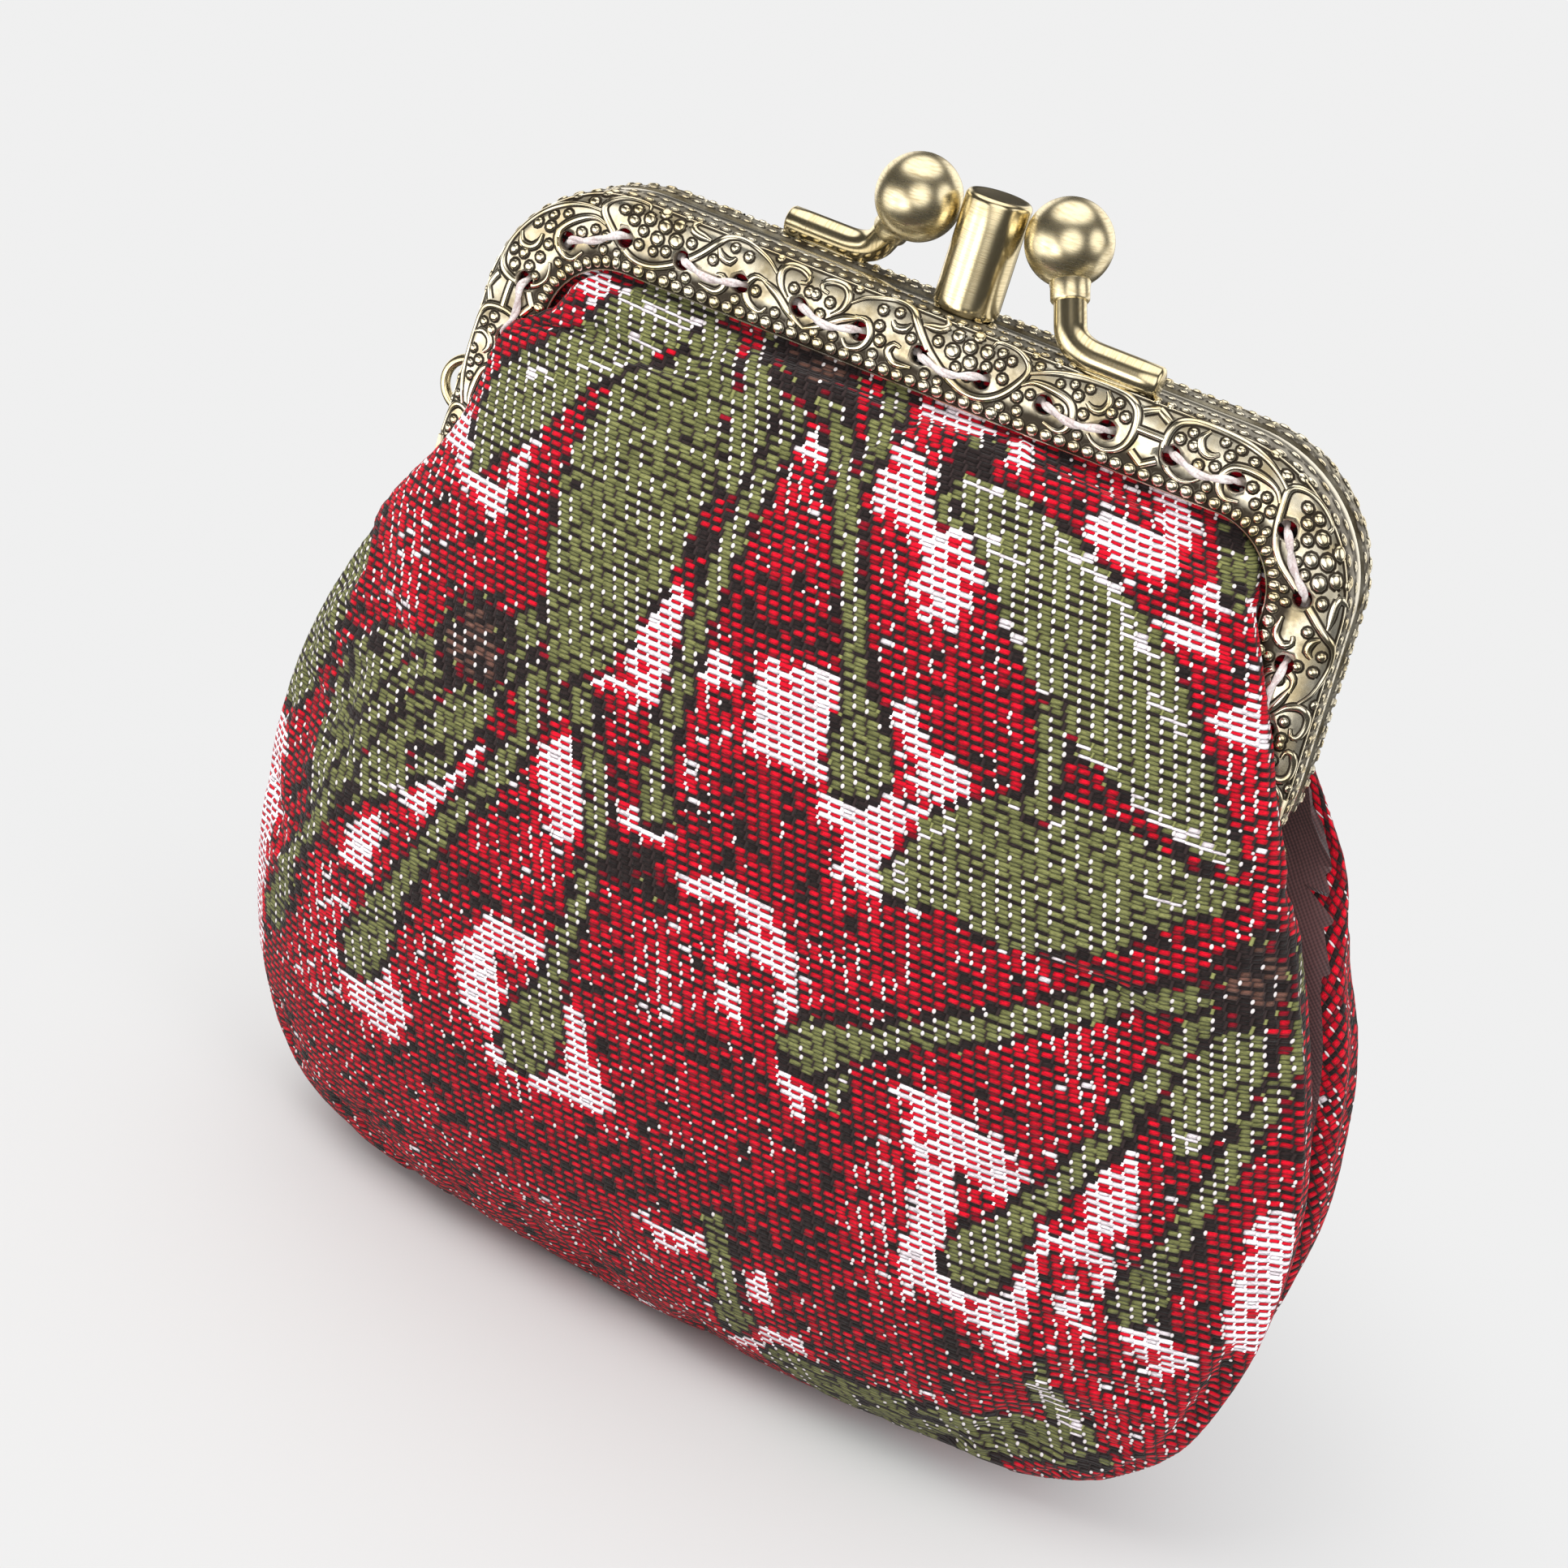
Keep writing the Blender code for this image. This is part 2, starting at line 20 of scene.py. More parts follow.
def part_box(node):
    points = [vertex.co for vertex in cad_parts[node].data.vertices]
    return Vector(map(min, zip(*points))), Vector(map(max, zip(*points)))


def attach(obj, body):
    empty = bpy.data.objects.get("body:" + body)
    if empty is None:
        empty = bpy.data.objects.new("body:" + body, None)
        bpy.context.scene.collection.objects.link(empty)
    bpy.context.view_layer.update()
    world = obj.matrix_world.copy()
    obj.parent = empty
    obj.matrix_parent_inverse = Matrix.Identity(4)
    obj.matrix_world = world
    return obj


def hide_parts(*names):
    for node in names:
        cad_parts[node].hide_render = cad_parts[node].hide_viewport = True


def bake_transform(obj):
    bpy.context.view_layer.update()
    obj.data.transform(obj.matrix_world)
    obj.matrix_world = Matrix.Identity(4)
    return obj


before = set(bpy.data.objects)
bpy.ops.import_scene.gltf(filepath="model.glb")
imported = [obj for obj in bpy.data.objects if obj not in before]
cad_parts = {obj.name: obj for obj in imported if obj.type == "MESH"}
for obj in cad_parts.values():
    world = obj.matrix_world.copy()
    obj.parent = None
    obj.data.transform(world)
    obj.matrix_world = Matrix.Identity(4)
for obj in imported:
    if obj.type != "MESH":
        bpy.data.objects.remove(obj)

LOG = logging.getLogger("coin_purse")
MM = 0.001                      # metres in one of the classes' own units
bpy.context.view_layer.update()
Point = tuple[float, float]
Shape = bmesh.types.BMesh
Piece = bpy.types.Object
Material = bpy.types.Material
Array = np.ndarray
Numbers = tuple[float, ...]     # places written down as plain numbers in turn
MERGE = 0.0005                  # how near two corners of a seam lie before they are merged


# Numbers ------------------------------------------------------------------
def smooth(value: Any, low: float, high: float) -> Any:
    """Return 0 below low, 1 above high and a smooth step between them."""
    part = np.clip((value - low) / (high - low), 0.0, 1.0)
    return part * part * (3.0 - 2.0 * part)


def lerp(first: Any, second: Any, part: Any) -> Any:
    """Return the value that lies a part of the way from first to second."""
    return first + (second - first) * part


def spline(points: Sequence[Sequence[float]], steps: int) -> Array:
    """Return a smooth curve through some points.

    Args:
        points: The points, two or more of them, of any dimension.
        steps: How many samples lie between two neighbours.

    Returns:
        The samples, the points among them, as rows.
    """
    knots = np.array(points, float)
    ends = np.vstack([2 * knots[0] - knots[1], knots, 2 * knots[-1] - knots[-2]])
    t = np.linspace(0.0, 1.0, steps, endpoint=False)[:, None]
    spans = []
    for before, start, end, after in zip(ends, ends[1:], ends[2:], ends[3:]):
        bend = 2 * before - 5 * start + 4 * end - after
        twist = 3 * start - before - 3 * end + after
        spans.append(start + 0.5 * t * ((end - before) + t * (bend + t * twist)))
    return np.vstack(spans + [knots[-1:]])


def spots(numbers: Numbers, width: int = 2) -> Array:
    """Return places that are written down as plain numbers in turn, as rows."""
    return np.array(numbers, float).reshape(-1, width)


def directions(line: Array) -> Array:
    """Return the unit direction of a polyline at each of its points."""
    slope = np.gradient(line, axis=0)
    return slope / np.linalg.norm(slope, axis=1)[:, None]


def normals_of(line: Array) -> Array:
    """Return the unit normal of a plane polyline at each of its points."""
    slope = directions(line)
    return np.stack([-slope[:, 1], slope[:, 0]], axis=1)


def curve_through(table: Sequence[Point], places: Any) -> Array:
    """Read a smooth curve, given as (place, value) pairs, at some places."""
    line = spline(table, 8)
    return np.interp(places, line[:, 0], line[:, 1])


def arc_lengths(points: Array) -> Array:
    """Return the distance along a polyline at each of its points."""
    steps = np.linalg.norm(np.diff(points, axis=0), axis=1)
    return np.concatenate([[0.0], np.cumsum(steps)])


def resample(points: Array, count: int) -> Array:
    """Return count points evenly spaced along a polyline."""
    lengths = arc_lengths(points)
    places = np.linspace(0.0, lengths[-1], count)
    return np.stack([np.interp(places, lengths, column) for column in points.T], axis=1)


class Cloudy:
    """Seeded soft noise over the plane."""

    def __init__(self, seed: int, cells: int = 96) -> None:
        """Draw the lattice of values."""
        self.cells = cells
        self.values = np.random.default_rng(seed).random((cells, cells)) * 2.0 - 1.0

    def layer(self, x: Array, y: Array) -> Array:
        """Read one layer of the noise, whose lumps are one unit apart."""
        left, low = np.floor(x), np.floor(y)
        across, up = smooth(x - left, 0.0, 1.0), smooth(y - low, 0.0, 1.0)
        columns = left.astype(int) % self.cells
        rows = low.astype(int) % self.cells
        columns_next, rows_next = (columns + 1) % self.cells, (rows + 1) % self.cells
        near = lerp(self.values[rows, columns], self.values[rows, columns_next], across)
        far = lerp(self.values[rows_next, columns], self.values[rows_next, columns_next], across)
        return lerp(near, far, up)

    def read(self, x: Array, y: Array, size: float, layers: int = 3) -> Array:
        """Read the noise, from -1 to 1, with lumps of some size and finer ones on them."""
        total, strength = 0.0, 1.0
        for step in range(layers):
            scale = 2.0 ** step / size
            total = total + strength * self.layer(x * scale + 7.3 * step, y * scale + 3.1 * step)
            strength *= 0.5
        return total / 1.6


# Shader maths -------------------------------------------------------------
class Sock:
    """A shader value that Python's operators work on."""

    def __init__(self, paint: "Paint", link: Any) -> None:
        """Keep the material's builder and the node's output."""
        self.paint = paint
        self.link = link

    def math(self, operation: str, *values: Any) -> "Sock":
        """Add a Math node on this value and some others."""
        return self.paint.node("ShaderNodeMath", {"operation": operation}, [self, *values])

    def __add__(self, other: Any) -> "Sock":
        """Add."""
        return self.math("ADD", other)

    __radd__ = __add__

    def __mul__(self, other: Any) -> "Sock":
        """Multiply."""
        return self.math("MULTIPLY", other)

    __rmul__ = __mul__

    def __sub__(self, other: Any) -> "Sock":
        """Subtract."""
        return self.math("SUBTRACT", other)

    def __rsub__(self, other: Any) -> "Sock":
        """Subtract this value from a number."""
        return self.paint.node("ShaderNodeMath", {"operation": "SUBTRACT"}, [other, self])

    def __truediv__(self, other: Any) -> "Sock":
        """Divide."""
        return self.math("DIVIDE", other)

    def floor(self) -> "Sock":
        """Round down."""
        return self.math("FLOOR")

    def fract(self) -> "Sock":
        """Keep what is past the whole number."""
        return self.math("FRACT")

    def abs(self) -> "Sock":
        """Drop the sign."""
        return self.math("ABSOLUTE")

    def root(self) -> "Sock":
        """Take the square root of what is above zero."""
        return self.math("MAXIMUM", 0.0).math("SQRT")

    def step(self, low: float, high: float) -> "Sock":
        """Rise smoothly from 0 at low to 1 at high."""
        settings = {"interpolation_type": "SMOOTHSTEP"}
        inputs = {"Value": self, "From Min": low, "From Max": high}
        return self.paint.node("ShaderNodeMapRange", settings, inputs)


class Paint:
    """One procedural material, built node by node."""

    def __init__(self, name: str) -> None:
        """Start a material that has only its Principled shader and output."""
        self.material = bpy.data.materials.new(name)
        self.material.use_nodes = True
        self.tree = self.material.node_tree
        self.shader = self.tree.nodes["Principled BSDF"]

    def node(self, kind: str, settings: dict[str, Any], inputs: Any, out: Any = 0) -> Sock:
        """Add any node.

        Args:
            kind: The node's type.
            settings: Its settings.
            inputs: The values or links of its sockets, a list or a dict by name.
            out: Which output to hand back.

        Returns:
            The output as a value to go on with.
        """
        made = self.tree.nodes.new(kind)
        for key, value in settings.items():
            setattr(made, key, value)
        pairs = inputs.items() if isinstance(inputs, dict) else enumerate(inputs)
        for key, value in pairs:
            self._feed(made.inputs[key], value)
        return Sock(self, made.outputs[out])

    def _feed(self, socket: Any, value: Any) -> None:
        """Link a value to a socket, or set it there."""
        if isinstance(value, Sock):
            self.tree.links.new(value.link, socket)
        elif isinstance(value, (tuple, list)) and len(value) == 3 and socket.type == "RGBA":
            socket.default_value = (*value, 1.0)
        else:
            socket.default_value = value

    def mix(self, part: Any, first: Any, second: Any) -> Sock:
        """Mix two colours."""
        settings = {"data_type": "RGBA", "blend_type": "MIX"}
        return self.node("ShaderNodeMix", settings, {0: part, 6: first, 7: second}, out=2)

    def shade(self, colour: Any, amount: Any) -> Sock:
        """Multiply a colour by a grey amount."""
        grey = self.node("ShaderNodeCombineXYZ", {}, [amount, amount, amount])
        return self.node("ShaderNodeVectorMath", {"operation": "MULTIPLY"}, [colour, grey])

    def noise(self, place: Any, scale: float, detail: float = 2.0) -> Sock:
        """Add soft noise."""
        return self.node("ShaderNodeTexNoise", {}, {"Vector": place, "Scale": scale, "Detail": detail})

    def place(self, scale: Sequence[float] = (1.0, 1.0, 1.0)) -> Sock:
        """Return the object coordinates, stretched."""
        where = self.node("ShaderNodeTexCoord", {}, [], out="Object")
        return self.node("ShaderNodeMapping", {}, {"Vector": where, "Scale": tuple(scale)})

    def attribute(self, name: str, out: str = "Fac") -> Sock:
        """Read an attribute of the mesh."""
        return self.node("ShaderNodeAttribute", {"attribute_name": name}, [], out=out)

    def bump(self, height: Sock, depth: float, strength: float = 1.0) -> Sock:
        """Turn a height into a normal; depth is in millimetres."""
        inputs = {"Height": height, "Distance": depth * MM, "Strength": strength}
        return self.node("ShaderNodeBump", {}, inputs)

    def principled(self, **sockets: Any) -> Material:
        """Set or link sockets of the Principled shader, underscores for spaces."""
        for key, value in sockets.items():
            self._feed(self.shader.inputs[key.replace("_", " ")], value)
        return self.material


# Finishes -----------------------------------------------------------------
Colour = tuple[float, float, float]


@dataclass(frozen=True)
class AntiqueBrass:
    """Embossed brass: bright on what stands proud, brown patina in what lies low."""

    bright: Colour = (0.98, 0.94, 0.80)
    worn: Colour = (0.80, 0.69, 0.45)
    patina: Colour = (0.026, 0.018, 0.010)
    roughness: float = 0.13

    def make(self, name: str) -> Material:
        """Build the material; it reads the mesh's own patina attribute."""
        paint = Paint(name)
        low = paint.attribute("patina")
        patches = paint.noise(paint.place(), 420.0, 3.0)
        grain = paint.noise(paint.place(), 2600.0, 2.0)
        dirt = (low * 1.15 + (patches - 0.5) * 0.45 + (grain - 0.5) * 0.15).step(0.18, 0.95)
        tone = patches.step(0.35, 0.70)
        metal = paint.mix(tone, self.bright, self.worn)
        colour = paint.mix(dirt, metal, self.patina)
        rough = self.roughness + 0.08 * grain + 0.25 * dirt
        dents = paint.bump(paint.noise(paint.place(), 1500.0, 3.0), 0.02, 0.35)
        return paint.principled(Base_Color=colour, Roughness=rough, Metallic=1.0 - 0.5 * dirt, Normal=dents)


@dataclass(frozen=True)
class BrushedBrass:
    """Plain brass with fine brushing that runs round the piece."""

    bright: Colour = (0.88, 0.79, 0.55)
    dull: Colour = (0.52, 0.42, 0.24)
    roughness: float = 0.13
    brushing: Colour = (500.0, 500.0, 16000.0)
    depth: float = 0.004

    def make(self, name: str) -> Material:
        """Build the material."""
        paint = Paint(name)
        lines = paint.noise(paint.place(self.brushing), 1.0, 3.0)
        cloud = paint.noise(paint.place(), 260.0, 3.0)
        worn = (lines * 0.8 + cloud * 0.35).step(0.45, 0.95)
        colour = paint.mix(worn, self.bright, self.dull)
        rough = self.roughness + 0.10 * lines + 0.06 * worn
        scratches = paint.bump(lines, self.depth, 0.5)
        return paint.principled(Base_Color=colour, Roughness=rough, Metallic=1.0, Normal=scratches)


@dataclass(frozen=True)
class Yarn:
    """Soft spun thread."""

    light: Colour = (0.90, 0.86, 0.84)
    shadow: Colour = (0.55, 0.43, 0.42)

    def make(self, name: str) -> Material:
        """Build the material."""
        paint = Paint(name)
        fibre = paint.noise(paint.place(), 5200.0, 3.0)
        fluff = paint.noise(paint.place(), 900.0, 2.0)
        colour = paint.mix((fibre * 0.6 + fluff * 0.5).step(0.35, 0.8), self.shadow, self.light)
        fuzz = paint.bump(fibre, 0.05, 0.7)
        return paint.principled(Base_Color=colour, Roughness=0.85, Normal=fuzz, Sheen_Weight=0.4)


@dataclass(frozen=True)
class Twill:
    """Plain dark lining cloth with a fine diagonal weave."""

    light: Colour = (0.11, 0.045, 0.045)
    dark: Colour = (0.035, 0.016, 0.018)
    pitch: float = 0.42

    def make(self, name: str) -> Material:
        """Build the material."""
        paint = Paint(name)
        where = paint.node("ShaderNodeSeparateXYZ", {}, [paint.place((1 / MM, 1 / MM, 1 / MM))], out="X")
        height = Sock(paint, where.link.node.outputs["Z"])
        slope = ((where + height) / self.pitch).fract()
        warp = ((where - height) / self.pitch).fract()
        rib = 1.0 - (slope - 0.5).abs() * 2.0
        bead = 1.0 - (warp - 0.5).abs() * 2.0
        relief = rib * 0.7 + bead * 0.4
        cloud = paint.noise(paint.place(), 160.0, 3.0)
        colour = paint.mix((relief * 0.6 + cloud * 0.5).step(0.25, 0.95), self.dark, self.light)
        weave = paint.bump(relief, 0.08, 0.7)
        return paint.principled(Base_Color=colour, Roughness=0.9, Normal=weave, Sheen_Weight=0.3)


@dataclass(frozen=True)
class Weave:
    """The loom's lattice: pairs of rows, in each of which the floats start a step further along."""

    float_pitch: float = 1.22
    pair_pitch: float = 0.77
    upper_share: float = 0.62       # share of a pair that its upper, thicker row takes
    shift: float = 0.25             # of a float, from one pair to the next

    @property
    def column(self) -> float:
        """Width of a cell of the cloth's mesh."""
        return self.float_pitch / 3.0

    @property
    def step(self) -> float:
        """Spacing of the places where floats can start."""
        return self.float_pitch * self.shift

    def down(self, row: Array) -> Array:
        """Return how far down the upper edge of a row lies."""
        pair = np.floor(row / 2.0)
        rest = row - 2.0 * pair
        share = self.upper_share
        inside = np.where(rest < 1.0, rest * share, share + (rest - 1.0) * (1 - share))
        return (pair + inside) * self.pair_pitch

    def runs(self, along: Array, row: Array) -> Array:
        """Count floats along a row; whole numbers are where one is tied down."""
        return along / self.float_pitch - self.shift * np.floor(row / 2.0)

    def along(self, run: Array, row: Array) -> Array:
        """Return the place along a row of a count of floats."""
        return (run + self.shift * np.floor(row / 2.0)) * self.float_pitch


WEAVE = Weave()


@dataclass(frozen=True)
class Jacquard:
    """The figured cloth: coloured weft floats over a dark warp, drawn from the mesh's own cells, with
    painted shade on each thread and dot.
    """

    dot: Colour = (0.93, 0.86, 0.86)
    roughness: float = 0.85

    def make(self, name: str) -> Material:
        """Build the material; it reads the weave UV map and the cells' attributes."""
        paint = Paint(name)
        place = paint.node("ShaderNodeUVMap", {"uv_map": "weave"}, [])
        flat = {"noise_dimensions": "2D"}
        wobble = paint.node("ShaderNodeTexNoise", flat, {"Vector": place, "Scale": 0.30})
        split = paint.node("ShaderNodeSeparateXYZ", {}, [place], out="X")
        along = split + (wobble - 0.5) * 0.14
        down = Sock(paint, split.link.node.outputs["Y"])

        kind = paint.node("ShaderNodeSeparateColor", {}, [paint.attribute("kind", "Color")], out="Red")
        dots = Sock(paint, kind.link.node.outputs["Green"])
        lift = Sock(paint, kind.link.node.outputs["Blue"])
        gap = kind * 2.0 - 1.0

        share = WEAVE.upper_share
        pairs = down / WEAVE.pair_pitch
        pair = pairs.floor()
        rest = pairs.fract()
        lower = rest.math("GREATER_THAN", share)
        runs = along / WEAVE.float_pitch - pair * WEAVE.shift
        part = runs.fract()
        tilted = (rest - lower * share) / (share + lower * (1.0 - 2.0 * share))
        across = tilted + (part - 0.5) * 0.20
        away = (0.5 - (part - 0.5).abs()) * WEAVE.float_pitch

        cell = paint.node("ShaderNodeCombineXYZ", {}, [runs.floor(), pair * 2.0 + lower, 0.0])
        luck = paint.node("ShaderNodeTexWhiteNoise", flat, {"Vector": cell})
        rim = (across - 0.5).abs() * 2.0
        reach = away - gap * 0.5 - 0.06 * rim * rim
        floats = (reach * 10.0 + 0.5).math("MAXIMUM", 0.0).math("MINIMUM", 1.0)
        round_over = (1.0 - rim * rim * 0.96).root()
        # The floats' rise from where they dive at their ends: it shapes their height and also paints shade
        # into their colour at the ends.
        arch_height_and_shade = 0.55 + 0.45 * (reach * 3.4).math("MAXIMUM", 0.0).math("MINIMUM", 1.0)

        stretch = paint.node("ShaderNodeCombineXYZ", {}, [along * 2.2 + down * 1.1, down * 13.0, luck * 9.0])
        fibre = paint.node("ShaderNodeTexNoise", {}, {"Vector": stretch, "Scale": 1.25, "Detail": 4.0})
        strands = fibre.step(0.30, 0.72)

        chosen = part.math("LESS_THAN", 0.5)
        weft = paint.mix(chosen, paint.attribute("weft", "Color"), paint.attribute("weft_next", "Color"))
        tie = paint.attribute("tie", "Color")
        # Painted shade: each float's colour is darkened towards its edges and its ends, on top of its random
        # tone and strands.
        light = (0.30 + 0.72 * round_over) * (0.74 + 0.48 * luck) * (0.60 + 0.66 * strands) * arch_height_and_shade
        lit_weft = paint.shade(weft, light * 1.25)
        upright = (1.0 - away * 5.2).math("MAXIMUM", 0.0)
        # Painted shade: a tie's colour is darkened away from its middle, next to the floats round it.
        lit_tie = paint.shade(tie, (0.30 + 1.60 * upright.root()) * (0.55 + 0.9 * fibre))
        cloth = paint.mix(floats, lit_tie, lit_weft)

        swell = (away * 5.4) * (away * 5.4) + ((tilted - 0.5) * 1.75) * ((tilted - 0.5) * 1.75)
        dot = (1.0 - swell.step(0.60, 1.05)) * dots
        # Painted shade: a white dot's colour is darkened towards its rim.
        colour = paint.mix(dot, cloth, paint.shade(self.dot, 0.80 + 0.25 * fibre - swell * 0.22))

        relief = floats * round_over * arch_height_and_shade * lift + (1.0 - floats) * upright * 0.28
        height = relief * (1.0 - dot) + dot * (0.95 - swell * 0.3) + fibre * 0.13
        return paint.principled(
            Base_Color=colour,
            Roughness=self.roughness,
            Normal=paint.bump(height, 0.20, 1.0),
            Sheen_Weight=0.10,
            Sheen_Roughness=0.5,
            Specular_IOR_Level=0.18,
        )


@dataclass(frozen=True)
class Paper:
    """The pale studio floor, which fades into the backdrop's tone away from the purse."""

    tone: float = 0.87
    albedo: float = 0.60

    def make(self, name: str) -> Material:
        """Build the material."""
        paint = Paint(name)
        where = paint.node("ShaderNodeTexCoord", {}, [], out="Object")
        away = paint.node("ShaderNodeVectorMath", {"operation": "LENGTH"}, [where], out="Value")
        glow = paint.node("ShaderNodeEmission", {}, {"Color": (self.tone,) * 3, "Strength": 1.0})
        paint.principled(Base_Color=(self.albedo,) * 3, Roughness=1.0, Specular_IOR_Level=0.0)
        mixed = paint.node("ShaderNodeMixShader", {}, {0: away.step(0.01, 0.115)})
        mixer = mixed.link.node
        paint.tree.links.new(paint.shader.outputs[0], mixer.inputs[1])
        paint.tree.links.new(glow.link, mixer.inputs[2])
        output = paint.tree.nodes["Material Output"]
        paint.tree.links.new(mixed.link, output.inputs["Surface"])
        return paint.material


# Mesh making --------------------------------------------------------------
def put(name: str, data: Any) -> Piece:
    """Put an object with some data into the scene."""
    made = bpy.data.objects.new(name, data)
    bpy.context.scene.collection.objects.link(made)
    return made


class Workshop:
    """Makes pieces out of bmeshes and hands them over to the frame."""

    def grid(self, across: int, up: int) -> Shape:
        """Return a flat grid of cells that spans 0 to across and 0 to up."""
        shape = bmesh.new()
        bmesh.ops.create_grid(shape, x_segments=across, y_segments=up, size=0.5)
        move = Matrix.Diagonal((across, up, 1.0, 1.0)) @ Matrix.Translation((0.5, 0.5, 0.0))
        bmesh.ops.transform(shape, matrix=move, verts=shape.verts)
        return shape

    def place_vertices(self, shape: Shape, places: Callable) -> None:
        """Move every vertex to where a function of its coordinates says.

        Args:
            shape: The bmesh.
            places: Takes an array of rows (x, y, z) and returns the new rows.
        """
        old = np.array([vertex.co for vertex in shape.verts])
        for vertex, new in zip(shape.verts, places(old)):
            vertex.co = new

    def finish(self, name: str, shape: Shape, smooth_angle: float = 35.0) -> Piece:
        """Turn a bmesh in millimetres into a linked object in metres."""
        mesh = bpy.data.meshes.new(name)
        shape.to_mesh(mesh)
        shape.free()
        mesh.transform(Matrix.Scale(MM, 4))
        piece = put(name, mesh)
        mesh.shade_smooth()
        mesh.set_sharp_from_angle(angle=math.radians(smooth_angle))
        return piece

    def dress(self, piece: Piece, material: Material) -> Piece:
        """Give a piece its only material."""
        piece.data.materials.clear()
        piece.data.materials.append(material)
        return piece

    def turn(self, profile: Sequence[Point], steps: int) -> Shape:
        """Spin a (radius, height) profile round Z into a closed shape."""
        shape = bmesh.new()
        line = [shape.verts.new((radius, 0.0, height)) for radius, height in profile]
        edges = [shape.edges.new(pair) for pair in zip(line, line[1:])]
        round_z = {"axis": (0.0, 0.0, 1.0), "cent": (0.0, 0.0, 0.0), "angle": 2.0 * math.pi}
        bmesh.ops.spin(shape, geom=line + edges, steps=steps, use_merge=True, **round_z)
        bmesh.ops.remove_doubles(shape, verts=shape.verts, dist=MERGE)
        bmesh.ops.recalc_face_normals(shape, faces=shape.faces)
        return shape

    def tube(self, route: Array, radius: Any, sides: int = 12) -> Shape:
        """Make a capped round tube along a route.

        Args:
            route: Rows of points, close together.
            radius: The radius, or one radius for each point.
            sides: Sides of the tube.

        Returns:
            The closed tube.
        """
        radii = np.broadcast_to(radius, len(route))
        tangents = directions(route)
        side = Vector(tangents[0]).orthogonal().normalized()
        sides_out = []
        for before, now in zip(np.vstack([tangents[:1], tangents]), tangents):
            side.rotate(Vector(before).rotation_difference(Vector(now)))
            sides_out.append(np.array(side))
        first = np.array(sides_out)
        second = np.cross(tangents, first)

        def places(old: Array) -> Array:
            """Wrap the grid round the route."""
            row = np.rint(old[:, 1]).astype(int)
            turn = 2.0 * np.pi * old[:, 0] / sides
            ring = np.cos(turn)[:, None] * first[row] + np.sin(turn)[:, None] * second[row]
            return route[row] + ring * radii[row][:, None]

        shape = self.grid(sides, len(route) - 1)
        self.place_vertices(shape, places)
        return self.close(shape, sides)

    def close(self, shape: Shape, sides: int) -> Shape:
        """Merge the seam of a bent grid, cap its ends and turn its faces outwards."""
        bmesh.ops.remove_doubles(shape, verts=shape.verts, dist=MERGE)
        bmesh.ops.holes_fill(shape, edges=shape.edges, sides=sides)
        bmesh.ops.recalc_face_normals(shape, faces=shape.faces)
        return shape

    def sweep(self, section: Array, stations: Array, side: int = 1) -> Shape:
        """Sweep a closed section of (inset, y) points along the frames' arch."""

        def places(old: Array) -> Array:
            """Lay the grid round the section and along the arch."""
            corner = section[np.rint(old[:, 0]).astype(int)]
            x, z = ARCH.place(stations[np.rint(old[:, 1]).astype(int)], corner[:, 0])
            return np.stack([x, side * corner[:, 1], z], axis=1)

        shape = self.grid(len(section) - 1, len(stations) - 1)
        self.place_vertices(shape, places)
        return self.close(shape, len(section))

    def slab(self, outline: Iterable[Sequence[float]], depth: Sequence[float]) -> Shape:
        """Give a flat outline its thickness."""
        shape = bmesh.new()
        face = shape.faces.new([shape.verts.new(place) for place in outline])
        walls = bmesh.ops.extrude_face_region(shape, geom=[face])["geom"]
        moved = [item for item in walls if isinstance(item, bmesh.types.BMVert)]
        bmesh.ops.translate(shape, vec=depth, verts=moved)
        bmesh.ops.recalc_face_normals(shape, faces=shape.faces)
        return shape

    def soften(self, shape: Shape, width: float) -> Shape:
        """Round every edge of a small part."""
        finish = {"offset_type": "OFFSET", "affect": "EDGES", "segments": 2, "profile": 0.5, "material": -1}
        bmesh.ops.bevel(shape, geom=shape.edges[:], offset=width, **finish)
        return shape

    def hand_over(self, piece: Piece, material: Material, body: str, slot: str,
                  *nodes: str) -> Piece:
        """Dress a piece, fix it to its body, and hide the nodes that it stands for."""
        self.dress(piece, material)
        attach(piece, body)
        if nodes:
            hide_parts(*nodes)
        return piece

    def join(self, shapes: Iterable[Shape]) -> Shape:
        """Put several bmeshes into one."""
        whole = bmesh.new()
        for shape in shapes:
            part = bpy.data.meshes.new("part")
            shape.to_mesh(part)
            shape.free()
            whole.from_mesh(part)
            bpy.data.meshes.remove(part)
        return whole

    def bake_modifiers(self, piece: Piece) -> None:
        """Replace a piece's mesh by what its modifiers make of it."""
        graph = bpy.context.evaluated_depsgraph_get()
        mesh = bpy.data.meshes.new_from_object(piece.evaluated_get(graph))
        piece.modifiers.clear()
        old = piece.data
        piece.data = mesh
        bpy.data.meshes.remove(old)


SHOP = Workshop()


# The line of the frames ---------------------------------------------------
class Hand(Enum):
    """Which side of the middle plane a piece belongs to."""

    FRONT = -1
    BACK = 1

    @property
    def word(self) -> str:
        """The word in the names of the pieces."""
        return self.name.lower()

    @property
    def jaw(self) -> str:
        """The body that swings on this side."""
        return self.word + "_jaw"


